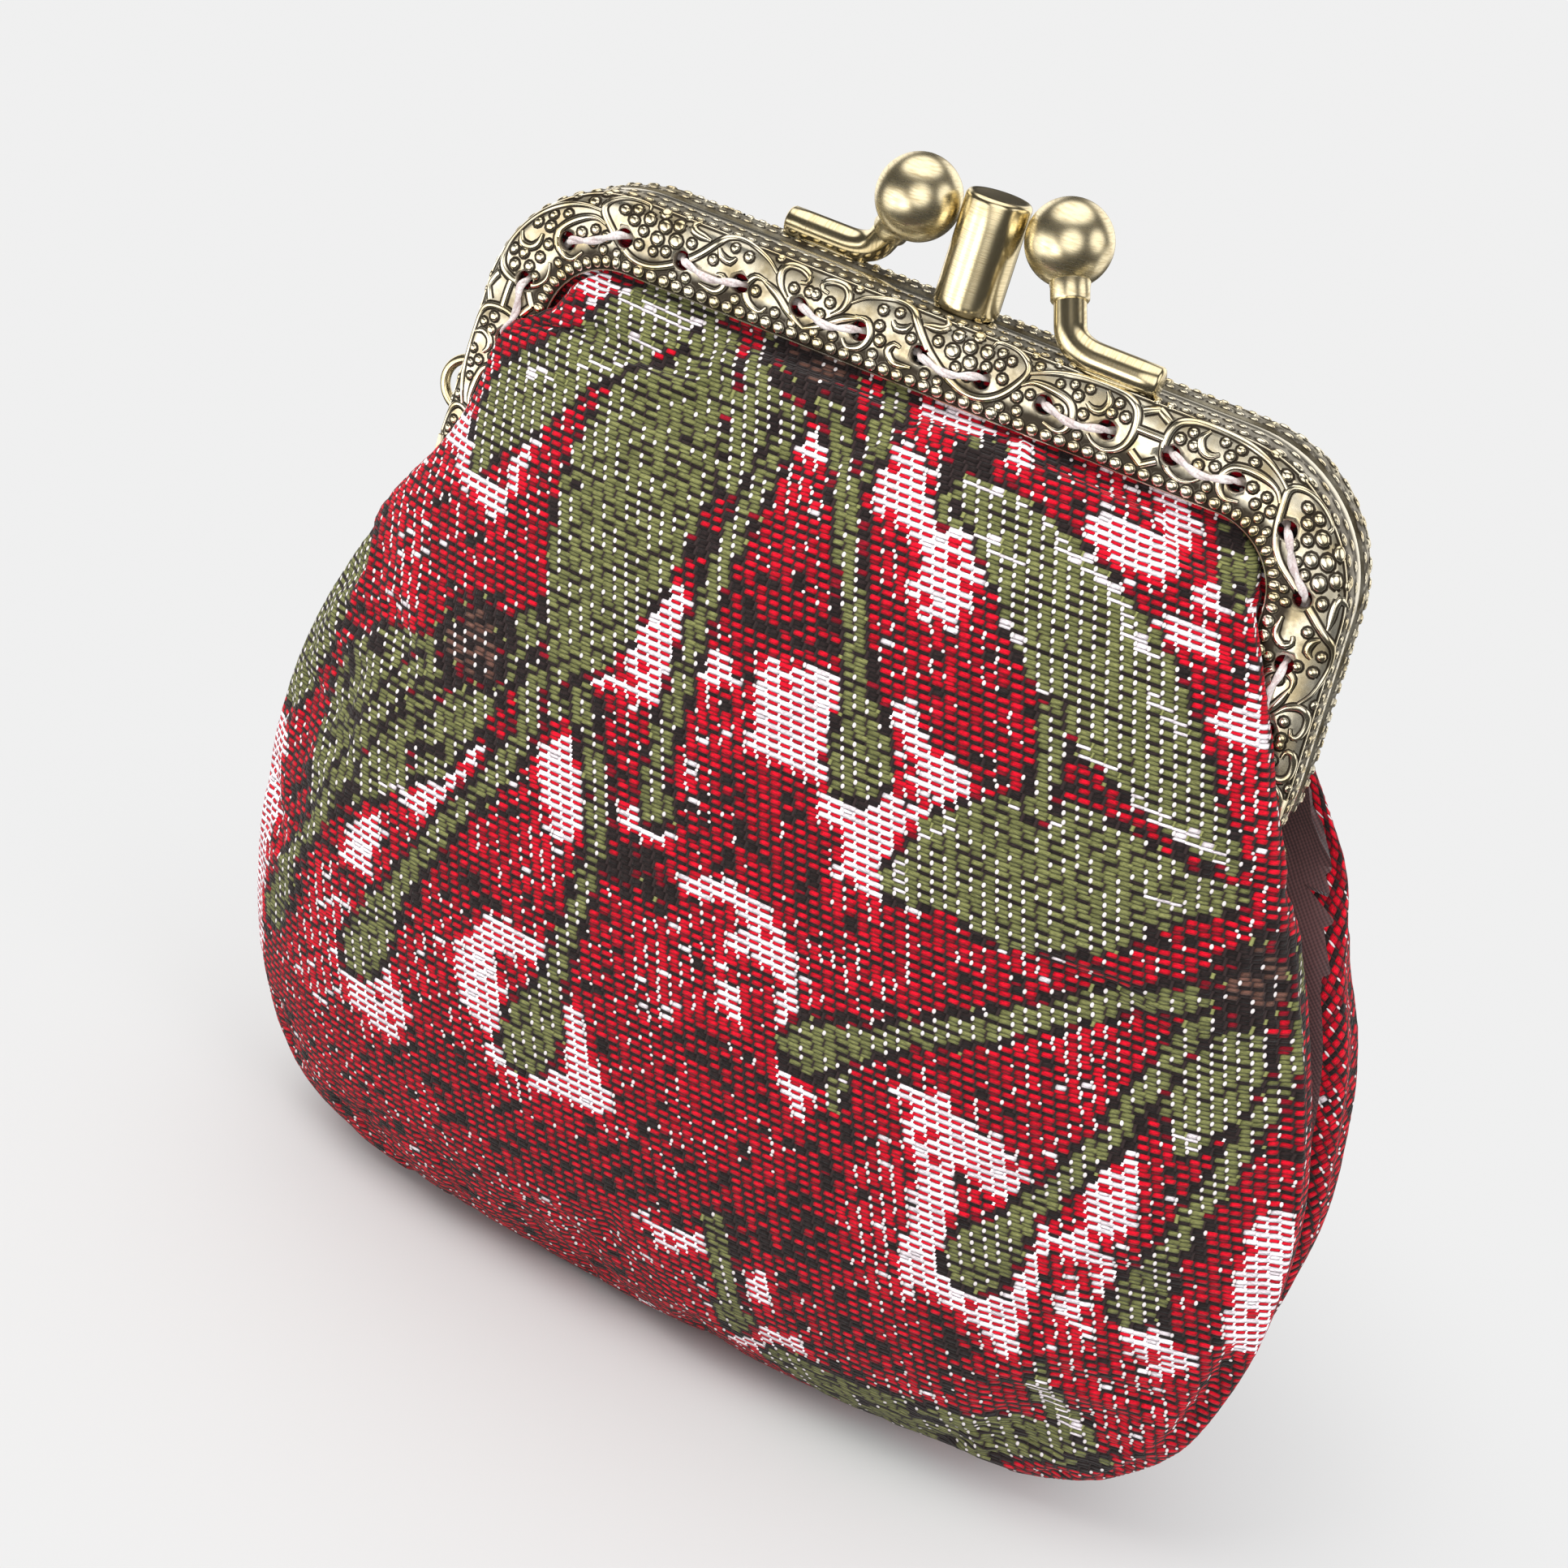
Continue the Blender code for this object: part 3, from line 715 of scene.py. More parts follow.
@dataclass(frozen=True)
class Arch:
    """The arch that all three frames follow, measured along its line of sewing holes."""

    half_top: float = 29.0
    corner: float = 13.5
    flare: float = math.radians(4.2)
    hole_inset: float = 3.75
    hole_radius: float = 0.90
    hole_pitch: float = 5.955
    holes_per_side: int = 10
    crown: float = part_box("front_frame")[1].z / MM
    side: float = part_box("front_frame")[1].x / MM
    face: float = -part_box("front_frame")[0].y / MM
    hinge: float = (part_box("rivet_left")[0].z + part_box("rivet_left")[1].z) / 2 / MM
    plate_end: float = 4.6         # the face's lower end, above the hinge

    @property
    def sweep(self) -> float:
        """Angle that a shoulder turns through."""
        return math.pi / 2 - self.flare

    @property
    def bend_end(self) -> float:
        """Distance from the middle to the end of a shoulder."""
        return self.half_top + (self.corner - self.hole_inset) * self.sweep

    @property
    def reach(self) -> float:
        """Distance from the middle to the lower end of the face."""
        shoulder = self.crown - self.corner + (self.corner - self.hole_inset) * math.cos(self.sweep)
        return self.bend_end + (shoulder - self.hinge - self.plate_end) / math.cos(self.flare)

    def place(self, distance: Array, inset: Array) -> tuple[Array, Array]:
        """Return the (x, z) places at distances along the arch and insets from its crown."""
        away = np.abs(distance)
        turn = np.clip((away - self.half_top) / (self.corner - self.hole_inset), 0.0, self.sweep)
        rest = np.maximum(away - self.bend_end, 0.0)
        radius = self.corner - inset
        x = np.minimum(away, self.half_top) + radius * np.sin(turn) + rest * math.sin(self.flare)
        z = self.crown - self.corner + radius * np.cos(turn) - rest * math.cos(self.flare)
        x = np.minimum(x, self.side - inset)
        return np.sign(distance) * x, z

    def inset_of(self, x: Array, z: Array) -> Array:
        """Return how far in from the crown's line some (x, z) places lie."""
        out, up = np.abs(x) - self.half_top, z - self.crown + self.corner
        turn = np.clip(np.arctan2(out, up), 0.0, self.sweep)
        return self.corner - out * np.sin(turn) - up * np.cos(turn)

    def holes(self) -> Array:
        """Return the distances of the sewing holes."""
        return self.hole_pitch * np.arange(-self.holes_per_side, self.holes_per_side + 1)

    def stations(self, extra: float = 0.0) -> Array:
        """Return distances along the arch, closer together in the shoulders."""
        straight = np.linspace(0.0, self.half_top, 30)
        bend = np.linspace(self.half_top, self.bend_end, 22)[1:]
        side = np.linspace(self.bend_end, self.reach + extra, 22)[1:]
        half = np.concatenate([straight, bend, side])
        return np.concatenate([-half[:0:-1], half])


ARCH = Arch()


@dataclass
class Skin:
    """The outer skin of an outer frame: a rounded face and crown wall that relief is laid on."""

    hand: Hand
    outline: tuple[Point, ...] = (
        (0.0, 1.56), (0.0, 2.6), (0.0, 3.6), (0.12, 4.35), (0.50, 4.92), (1.25, 5.22),
        (3.7, 5.36), (6.0, 5.28), (6.7, 5.10), (6.9, 4.8),
    )
    ridge: int = 4                  # the outline's point that is counted as zero
    inner: tuple[Point, ...] = ((6.9, 4.4), (0.8, 4.4), (0.8, 1.56))
    line: Array = field(init=False)
    lengths: Array = field(init=False)
    normals: Array = field(init=False)

    def __post_init__(self) -> None:
        """Work out the smooth outline, its lengths and its normals."""
        steps = 4
        self.line = spline(self.outline, steps)
        self.lengths = arc_lengths(self.line)
        self.lengths -= self.lengths[self.ridge * steps]
        self.normals = normals_of(self.line)

    def lay(self, flat: Array) -> Array:
        """Bend flat relief onto the skin.

        Args:
            flat: Rows of (distance along the arch, distance in from the ridge, height).

        Returns:
            Rows of (x, y, z) in the model's frame.
        """
        distance, across, height = flat.T
        inset = np.interp(across, self.lengths, self.line[:, 0])
        y = np.interp(across, self.lengths, self.line[:, 1])
        inset = inset + height * np.interp(across, self.lengths, self.normals[:, 0])
        y = y + height * np.interp(across, self.lengths, self.normals[:, 1])
        x, z = ARCH.place(distance, inset)
        return np.stack([x, self.hand.value * y, z], axis=1)

    def across(self, inset: float) -> float:
        """Return the distance in from the ridge of a place on the face."""
        face = self.line[:, 0] > 0.3
        return float(np.interp(inset, self.line[face, 0], self.lengths[face]))


@dataclass
class Relief:
    """Embossed ornament in flat coordinates: dots, ribs and pearls with dark hollows round them."""

    skin: Skin
    shapes: list[Shape] = field(default_factory=list)

    def dot(self, distance: float, across: float, radius: float, height: float,
            stretch: float = 1.0) -> None:
        """Add a domed dot with a low dark skirt."""
        rings = ((radius + 0.26, 0.012), (radius + 0.06, 0.018))
        rings += ((radius - 0.03, height * 0.72), (radius * 0.55, height))
        shape = bmesh.new()
        bmesh.ops.create_circle(shape, cap_ends=True, segments=10, radius=rings[0][0])
        top = shape.faces[:]
        for (outer, low), (inner, high) in zip(rings, rings[1:]):
            step = (outer - inner) * math.cos(math.pi / 10)
            bmesh.ops.inset_region(shape, faces=top, thickness=step, use_boundary=True, use_even_offset=True)
            bmesh.ops.translate(shape, vec=(0.0, 0.0, high - low), verts=top[0].verts)
        place = Matrix.Translation((distance, across, rings[0][1]))
        size = Matrix.Diagonal((1.0, stretch, 1.0, 1.0))
        bmesh.ops.transform(shape, matrix=place @ size, verts=shape.verts)
        self.shapes.append(shape)

    def stud(self, distance: float, across: float, half: float, height: float) -> None:
        """Add a small four-sided pyramid that stands on its corner."""
        shape = bmesh.new()
        bmesh.ops.create_circle(shape, cap_ends=True, segments=4, radius=half + 0.1)
        top = shape.faces[:]
        for step in (0.09, half * 0.45):
            bmesh.ops.inset_region(shape, faces=top, thickness=step, use_boundary=True, use_even_offset=True)
        bmesh.ops.translate(shape, vec=(0.0, 0.0, height), verts=top[0].verts)
        bmesh.ops.transform(shape, matrix=Matrix.Translation((distance, across, 0.01)), verts=shape.verts)
        self.shapes.append(shape)

    def rib(self, route: Sequence[Point], width: float, height: float, taper: bool = True) -> None:
        """Add a rounded rib along a route of (distance, across) points."""
        line = spline(route, 6)
        line = resample(line, max(6, int(arc_lengths(line)[-1] / 0.28)))
        normal = normals_of(line)
        half = width / 2
        right = [half - 0.07, half + 0.04, half + 0.20]
        offsets = np.array([-edge for edge in reversed(right)] + [0.0] + right)
        heights = np.array([0.008, 0.016, height * 0.8, height, height * 0.8, 0.016, 0.008])
        ends = np.linspace(0.0, 1.0, len(line))
        slim = np.ones(len(line))
        if taper:
            slim = 1.0 - 0.55 * (1.0 - smooth(ends, 0.0, 0.3) * smooth(1.0 - ends, 0.0, 0.3))

        def places(old: Array) -> Array:
            """Lay the grid along the route."""
            column = np.rint(old[:, 0]).astype(int)
            row = np.rint(old[:, 1]).astype(int)
            flat = line[row] + normal[row] * (offsets[column] * slim[row])[:, None]
            return np.column_stack([flat, heights[column]])

        shape = SHOP.grid(len(offsets) - 1, len(line) - 1)
        SHOP.place_vertices(shape, places)
        self.shapes.append(shape)

    def join(self) -> Shape:
        """Join the ornament and note how low each point lies."""
        whole = SHOP.join(self.shapes)
        layer = whole.verts.layers.float.new("patina")
        for vertex in whole.verts:
            low = 1.0 - float(smooth(vertex.co.z, 0.03, 0.14))
            vertex[layer] = low * (0.70 if vertex.co.z < 0.013 else 1.0)
        return whole

    def bend(self, whole: Shape) -> Shape:
        """Bend the joined ornament onto the skin."""
        SHOP.place_vertices(whole, self.skin.lay)
        bmesh.ops.recalc_face_normals(whole, faces=whole.faces)
        return whole


@dataclass(frozen=True)
class Motif:
    """The scrollwork of half a repeat, as (along, across) from a mirror line; every repeat is mirrored."""

    origin: float = -11.0
    half: float = 32.6
    ribs: tuple[Numbers, ...] = (
        (1.4, 1.2, 0.8, 1.04, 0.7, 0.5, 1.6, 0, 2.8, 0.1, 3.36, 0.9, 3.1, 2, 2.2, 2.9),
        (0, 4.9, 1.6, 4.1, 3.2, 2.9, 5, 2.1),
        (3.7, 1.2, 4.8, 0.4, 6.6, -0.3, 8, -0.6, 9.2, -0.2, 9.9, 0.6, 11, 1.9, 12.2, 3, 14, 4.2, 15.8,
         4.9, 17.6, 4.8, 19.2, 3.8, 20.4, 2.2, 20.8, 1, 20.2, 0.2, 19, -0.3, 17.4, -0.3, 17.1, 0.2),
        (7.8, 1.3, 8.3, 1.8, 9.2, 1.6, 9.6, 1), (10.6, 0.7, 12.2, 0.5, 12.7, 0, 12.2, -0.6),
        (4.4, 2.2, 5.6, 2.2, 6.2, 3.4, 5.6, 4.6, 4.4, 5, 3.8, 4.4),
        (10.6, 4.6, 9, 4.8, 8.2, 4, 8.6, 3.2, 9.2, 3.3),
        (21, 1.2, 22.2, 0.7, 23.8, 0.2, 25.8, -0.2, 28, -0.3, 29.6, -0.1, 30.8, 0.7, 31.2, 2.2, 31,
         3.6, 30.2, 4.6, 29, 5, 28, 4.7, 27.4, 4.2),
        (20.6, 2.4, 21.6, 1.8, 23.4, 1.8, 25, 2.2, 25.7, 3.2, 25.6, 4.4, 24.8, 5, 23.4, 4.7),
        (27.9, 0.2, 28.4, 1, 28, 1.9, 27.2, 2.1, 26.5, 1.7), (31.4, 0.7, 32, 0.35, 32.6, 0),
        (31.4, 2.2, 32, 2.2, 32.6, 2.2), (31.4, 4.2, 32, 4.6, 32.6, 5),
    )
    dots: Numbers = (               # along, across and radius in turn
        0.3, 1.7, 0.4, 1.8, 1.9, 0.4, 3.9, -0.2, 0.35, 6.7, 0.8, 0.4, 8.2, 0.5, 0.35, 6.8, 2.2, 0.4, 9.9,
        2.2, 0.4, 7.2, 3.4, 0.45, 12.3, 1.56, 0.4, 13.9, 0.5, 0.5, 13.8, 1.9, 0.6, 15.2, 1.04, 0.55,
        15.6, -0.16, 0.5, 15.6, 2.3, 0.55, 16.8, 0.9, 0.5, 17.1, 2.1, 0.4, 18.1, 0.5, 0.35, 18.2, 1.5,
        0.4, 19.1, 0.84, 0.35, 18.8, 2.56, 0.4, 14.5, 3.1, 0.4, 15.7, 3.5, 0.35, 17.2, 3.4, 0.4, 13.5,
        -0.6, 0.35, 23.8, 1.1, 0.3, 25, 0.7, 0.3, 26.4, 0.56, 0.35, 25.6, 1.5, 0.4, 29.2, 0.8, 0.35,
        28.8, 1.8, 0.4, 30.1, 1.7, 0.42, 26.5, 2.8, 0.4, 27.9, 3.2, 0.4, 29.3, 3, 0.42, 29.6, 4, 0.35,
        21.6, 2.9, 0.35, 23, 3, 0.4, 24.3, 3.3, 0.4, 20.5, 3.5, 0.45, 22, 4, 0.4, 20.8, -0.5, 0.35, 21.6,
        0.4, 0.35, 23, -0.5, 0.35, 32.6, 1.1, 0.4, 32.6, 3.4, 0.45, 1.1, 4.9, 0.4, 2.9, 4.6, 0.42, 6.9,
        4.8, 0.42, 12, 4.7, 0.42, 13.3, 4.9, 0.38, 19.3, 4.9, 0.42, 20.9, 4.7, 0.42, 26.6, 4.7, 0.4, 32,
        -0.6, 0.3, 5.2, 3.4, 0.4, 1.2, 3.2, 0.4,
    )

    def repeats(self, reach: float) -> list[tuple[float, float]]:
        """Return the (start, direction) of every half repeat that touches the arch."""
        made = []
        for turn in range(-2, 3):
            start = self.origin + 2 * self.half * turn
            for way in (-1.0, 1.0):
                near = min(abs(start), abs(start + way * self.half)) < reach + 1.0
                if near or abs(start) < reach + self.half:
                    made.append((start, way))
        return made


@dataclass
class OuterFrame:
    """An embossed outer frame with its sewing holes, ornament and ears."""

    hand: Hand
    ear_level: int
    rib_width: float = 0.56
    rib_height: float = 0.20
    bead_pitch: float = 1.31

    def body(self, skin: Skin) -> Piece:
        """Sweep the pressed sheet along the arch and punch the sewing holes."""
        loop = np.vstack([skin.line, np.array(skin.inner), skin.line[:1]])
        hand = self.hand.value
        shape = SHOP.sweep(loop, ARCH.stations(), hand)
        plate = SHOP.finish(self.hand.word + "_frame_plate", shape, 50.0)

        punches = bmesh.new()
        x, z = ARCH.place(ARCH.holes(), np.full(len(ARCH.holes()), ARCH.hole_inset))
        for across, up in zip(x, z):
            place = Matrix.Translation((across, hand * ARCH.face, up)) @ Matrix.Rotation(math.pi / 2, 4, "X")
            size = {"radius1": ARCH.hole_radius, "radius2": ARCH.hole_radius, "depth": 3.0}
            bmesh.ops.create_cone(punches, cap_ends=True, segments=24, matrix=place, **size)
        punch = SHOP.finish("punches", punches)
        cut = plate.modifiers.new("holes", "BOOLEAN")
        cut.operation = "DIFFERENCE"
        cut.solver = "EXACT"
        cut.object = punch
        SHOP.bake_modifiers(plate)
        bpy.data.objects.remove(punch, do_unlink=True)
        return plate

    def ornament(self, skin: Skin) -> Shape:
        """Lay the scrolls and dots of every repeat, the tongues and the bead rows."""
        relief = Relief(skin)
        end = ARCH.reach - 0.6
        motif = Motif()
        holes = np.column_stack([ARCH.holes(), np.full(len(ARCH.holes()), skin.across(ARCH.hole_inset))])
        for start, way in motif.repeats(end):
            for rib in map(spots, motif.ribs):
                laid = [(start + way * along, across) for along, across in rib]
                inside = [point for point in laid if abs(point[0]) < end]
                if len(inside) > 2:
                    relief.rib(inside, self.rib_width, self.rib_height, taper=len(rib) > 3)
            for along, across, radius in spots(motif.dots, 3):
                spot = np.array([start + way * along, across])
                clear = float(np.min(np.linalg.norm(holes - spot, axis=1)))
                whole = 0.05 < along < motif.half - 0.05
                if whole and abs(spot[0]) < end and clear > ARCH.hole_radius + 0.25:
                    relief.dot(spot[0], spot[1], radius * 0.98, 0.22)
        self.borders(relief, end)
        whole = relief.join()
        self.open_holes(whole, holes)
        return relief.bend(whole)

    def borders(self, relief: Relief, end: float) -> None:
        """Lay the tongues and fine beads of the inner edge, and the rows along the crown and its wall."""
        for s in np.arange(-end, end, self.bead_pitch):
            relief.dot(s, 5.70, 0.52, 0.28)
            relief.dot(s, -1.05, 0.38, 0.22, 0.85)
            relief.dot(s + self.bead_pitch / 2, -3.1, 0.34, 0.16)
        for across, width in ((6.50, 0.24), (-0.42, 0.16)):
            relief.rib([(s, across) for s in np.arange(-end, end + 0.01, 2.0)], width, 0.13, taper=False)
        for s in np.arange(-end, end, 1.60):
            if self.hand is Hand.BACK or abs(s) > ARCH.bend_end + 4.0:
                relief.stud(s, -2.15, 0.55, 0.28)

    def open_holes(self, whole: Shape, holes: Array) -> None:
        """Take away the ornament that would cover a sewing hole."""
        covering = []
        for face in whole.faces:
            middle = face.calc_center_median()
            near = holes[np.argmin(np.abs(holes[:, 0] - middle.x))]
            if math.hypot(middle.x - near[0], middle.y - near[1]) < ARCH.hole_radius + 0.02:
                covering.append(face)
        bmesh.ops.delete(whole, geom=covering, context="FACES")

    def ears(self) -> Shape:
        """Make the two ears that turn on the rivets."""
        hand = self.hand.value
        thick, pitch, radius = 0.62, 1.2, 3.0
        shapes = []
        for way in (-1, 1):
            top = ARCH.hinge + 8.0
            knee = ARCH.hinge + ARCH.plate_end - 0.3
            outline = [(hand * 5.08, top), (hand * 1.56, top), (hand * 1.56, knee)]
            for step in range(15):
                turn = math.radians(100 - step * 20)
                outline.append((-hand * radius * math.cos(turn), ARCH.hinge + radius * math.sin(turn)))
            outline.append((hand * 5.08, knee))
            x = way * (ARCH.side - 0.4 - self.ear_level * pitch)
            shape = SHOP.slab([(x - way * thick / 2, y, z) for y, z in outline], (way * thick, 0.0, 0.0))
            shapes.append(SHOP.soften(shape, 0.12))
            if self.ear_level:
                shapes.append(self.joggle(way))
        return SHOP.join(shapes)

    def joggle(self, way: int) -> Shape:
        """Make the step that carries an inner ear in from the wall."""
        shape = bmesh.new()
        bmesh.ops.create_cube(shape, size=1.0)
        size = Matrix.Diagonal((1.9, 3.0, 1.5, 1.0))
        middle = (way * (ARCH.side - 1.05), self.hand.value * 3.35, ARCH.hinge + 5.8)
        bmesh.ops.transform(shape, matrix=Matrix.Translation(middle) @ size, verts=shape.verts)
        return SHOP.soften(shape, 0.2)

    def note_plate_patina(self, plate: Piece) -> None:
        """Darken the sunk inner edge and the crown, and leave the face between the scrolls half bright."""
        where = np.empty(len(plate.data.vertices) * 3)
        plate.data.vertices.foreach_get("co", where)
        where = where.reshape(-1, 3) / MM
        inset = ARCH.inset_of(where[:, 0], where[:, 2])
        clouds = Cloudy(21).read(where[:, 0], where[:, 2], 5.0)
        low = 0.40 + 0.16 * clouds + 0.55 * smooth(inset, 4.7, 5.2) + 0.22 * (1.0 - smooth(inset, 0.05, 0.9))
        layer = plate.data.attributes.new("patina", "FLOAT", "POINT")
        layer.data.foreach_set("value", low.astype(np.float32))

    def note_patina(self, piece: Piece, amount: float) -> None:
        """Write one patina value over a whole piece."""
        layer = piece.data.attributes.new("patina", "FLOAT", "POINT")
        layer.data.foreach_set("value", np.full(len(piece.data.vertices), amount, np.float32))

    def build(self, material: Material) -> list[Piece]:
        """Build, dress and hand over the frame's pieces."""
        skin = Skin(self.hand)
        plate = self.body(skin)
        self.note_plate_patina(plate)
        relief = SHOP.finish(self.hand.word + "_frame_ornament", self.ornament(skin), 60.0)
        ears = SHOP.finish(self.hand.word + "_frame_ears", self.ears())
        self.note_patina(ears, 0.3)
        pieces = [plate, relief, ears]
        for piece in pieces:
            SHOP.hand_over(piece, material, self.hand.jaw, "antique_brass")
        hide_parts(self.hand.word + "_frame")
        return pieces


@dataclass
class CentreFrame:
    """The plain centre frame: a channel with a rounded back."""

    half: float = 1.2
    wall: float = 0.5
    depth: float = 4.0

    def section(self) -> Array:
        """Return the closed section as (inset, y) points."""
        swings = [math.sin(turn) for turn in np.linspace(-1.45, 1.45, 13)]
        crown = [(0.34 * (abs(swing) ** 1.6), self.half * swing) for swing in swings]
        slot = self.half - self.wall
        rest = [(self.depth, self.half), (self.depth, slot), (self.wall, slot)]
        mirror = [(inset, -y) for inset, y in reversed(rest)]
        return np.array(crown + rest + mirror + crown[:1])

    def build(self, material: Material) -> Piece:
        """Build, dress and hand over the centre frame."""
        shape = SHOP.sweep(self.section(), ARCH.stations(0.6))
        channel = SHOP.finish("centre_channel", SHOP.join([shape, *self.ears()]), 40.0)
        return SHOP.hand_over(channel, material, "bag", "plain_brass", "centre_frame")

    def ears(self) -> list[Shape]:
        """Make the flat ears that the rivets pass through."""
        made = []
        radius = 2.6
        for way in (-1, 1):
            outline = [(self.half - 0.1, ARCH.hinge + 7.0), (-self.half + 0.1, ARCH.hinge + 7.0)]
            for step in range(15):
                turn = math.radians(155 + step * 230 / 14)
                outline.append((radius * math.cos(turn), ARCH.hinge + radius * math.sin(turn)))
            x = way * (ARCH.side - 0.4 - 2.4)
            made.append(SHOP.slab([(x - way * 0.4, y, z) for y, z in outline], (way * 0.8, 0.0, 0.0)))
        return made


# Clasp --------------------------------------------------------------------
@dataclass
class Clasp:
    """The post on the centre frame and the two ball arms that snap past it."""

    middle: float = 1.1             # how far right of the frame's middle the clasp stands
    post_radius: float = 3.0
    post_length: float = 10.2
    stem_radius: float = 0.9
    ball_radius: float = 3.9
    ball_lift: float = 8.4
    ball_step: float = 0.45         # how much higher the front ball stands, and how much lower the back one
    arm_radius: float = 1.42
    arm_end: float = 19.6
    arm_bend: float = 11.1
    arm_y: float = 3.6
    gap: float = 0.3

    def post(self, material: Material) -> Piece:
        """Turn the post: a slightly domed cylinder with a small foot fillet."""
        base = ARCH.crown + 0.02
        top = ARCH.crown + self.gap + self.post_length
        radius = self.post_radius
        rim = [(radius - 0.55 + 0.55 * math.sin(t), top - 0.55 + 0.55 * math.cos(t))
               for t in np.linspace(0.15, math.pi / 2, 7)]
        profile = [(0.0, top - 0.10), (radius * 0.45, top - 0.085), (radius * 0.72, top - 0.03)] + rim
        profile += [(radius, top - 2.5), (radius, top - 6.0), (radius, base + 1.0), (radius, base + 0.55)]
        profile += [(radius - 0.08, base + 0.25), (radius - 0.35, base + 0.02), (self.stem_radius, base)]
        profile += [(self.stem_radius, ARCH.crown - 0.5), (0.0, ARCH.crown - 0.5)]
        shape = SHOP.turn(profile, 64)
        bmesh.ops.translate(shape, vec=(self.middle, 0.0, 0.0), verts=shape.verts)
        piece = SHOP.finish("clasp_post_turned", shape)
        return SHOP.hand_over(piece, material, "bag", "plain_brass", "clasp_post")

    def points(self, hand: Hand) -> tuple[Vector, Vector, Vector]:
        """Return the ball's centre and the arm's far end and bend."""
        side = -hand.value
        ball_x = self.middle + side * (self.post_radius + self.ball_radius + 0.2)
        ball = Vector((ball_x, 0.0, ARCH.crown + self.ball_lift - hand.value * self.ball_step))
        level = ARCH.crown + self.arm_radius - 0.22
        far_end = Vector((self.middle + side * self.arm_end, hand.value * self.arm_y, level))
        bend = Vector((self.middle + side * self.arm_bend, hand.value * self.arm_y, level))
        return ball, far_end, bend

    def arm(self, hand: Hand, material: Material) -> Piece:
        """Bend the arm's wire, round its far end and solder it to the crown."""
        ball, far_end, bend = self.points(hand)
        rise = (ball - bend).normalized()
        lie = (bend - far_end).normalized()
        start, finish = bend - lie * 2.7, bend + rise * 2.0
        shares = np.linspace(0, 1, 13)
        corner = [start * (1 - t) ** 2 + bend * 2 * t * (1 - t) + finish * t ** 2 for t in shares]
        route = [far_end + lie * 0.001, far_end + lie * 0.12, far_end + lie * 0.35, far_end + lie * 2.0]
        route += [far_end + lie * 4.0, *corner, ball - rise * (self.ball_radius + 0.9), ball - rise * 2.0]
        line = np.array([tuple(point) for point in route])
        radii = np.full(len(line), self.arm_radius)
        radii[:3] = self.arm_radius * np.array([0.72, 0.90, 0.99])
        shape = SHOP.tube(line, radii, 28)
        solder = bmesh.new()
        bmesh.ops.create_uvsphere(solder, u_segments=24, v_segments=12, radius=1.0)
        length = (bend - far_end).length * 0.5
        middle = (far_end + bend) / 2
        place = Matrix.Translation((middle.x, middle.y, ARCH.crown + 0.10))
        size = Matrix.Diagonal((length * 0.92, 1.25, 0.42, 1.0))
        bmesh.ops.transform(solder, matrix=place @ size, verts=solder.verts)
        piece = SHOP.finish(hand.word + "_arm_bent", SHOP.join([shape, solder]), 50.0)
        return SHOP.hand_over(piece, material, hand.jaw, "plain_brass", hand.word + "_clasp_arm")

    def ball(self, hand: Hand, material: Material) -> Piece:
        """Turn the ball with the ferrule that holds it on the arm."""
        ball, _, bend = self.points(hand)
        rise = (ball - bend).normalized()
        radius = self.ball_radius
        turns = np.linspace(0.0, math.radians(153), 30)
        foot = -radius - 1.35
        profile = [(radius * math.sin(turn), radius * math.cos(turn)) for turn in turns]
        profile += [(1.80, -radius + 0.30), (1.72, -radius - 0.10)]
        profile += [(1.70, foot + 0.15), (1.60, foot), (0.0, foot)]
        shape = SHOP.turn(profile, 64)
        place = rise.to_track_quat("Z", "X").to_matrix().to_4x4()
        place.translation = ball
        bmesh.ops.transform(shape, matrix=place, verts=shape.verts)
        piece = SHOP.finish(hand.word + "_ball_turned", shape)
        return SHOP.hand_over(piece, material, hand.jaw, "plain_brass", hand.word + "_clasp_ball")


@dataclass
class ChainLoop:
    """The small wire loop for a chain, on the left side of the centre frame."""

    drop: float = 24.2
    half: float = 2.6
    reach: float = 3.3
    wire: float = 0.5

    def build(self, material: Material) -> Piece:
        """Build, dress and hand over the loop."""
        level = ARCH.crown - self.drop
        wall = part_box("chain_loop")[1].x / MM + 0.25
        turns = np.linspace(math.pi / 2, -math.pi / 2, 25)
        bow = [(wall - 0.6 - (self.reach - 0.6) * math.cos(turn), math.sin(turn)) for turn in turns]
        line = np.array([(x, 0.0, level + self.half * rise) for x, rise in [(wall, 1), *bow, (wall, -1)]])
        piece = SHOP.finish("chain_loop_wire", SHOP.tube(line, self.wire, 16), 50.0)
        return SHOP.hand_over(piece, material, "bag", "plain_brass", "chain_loop")


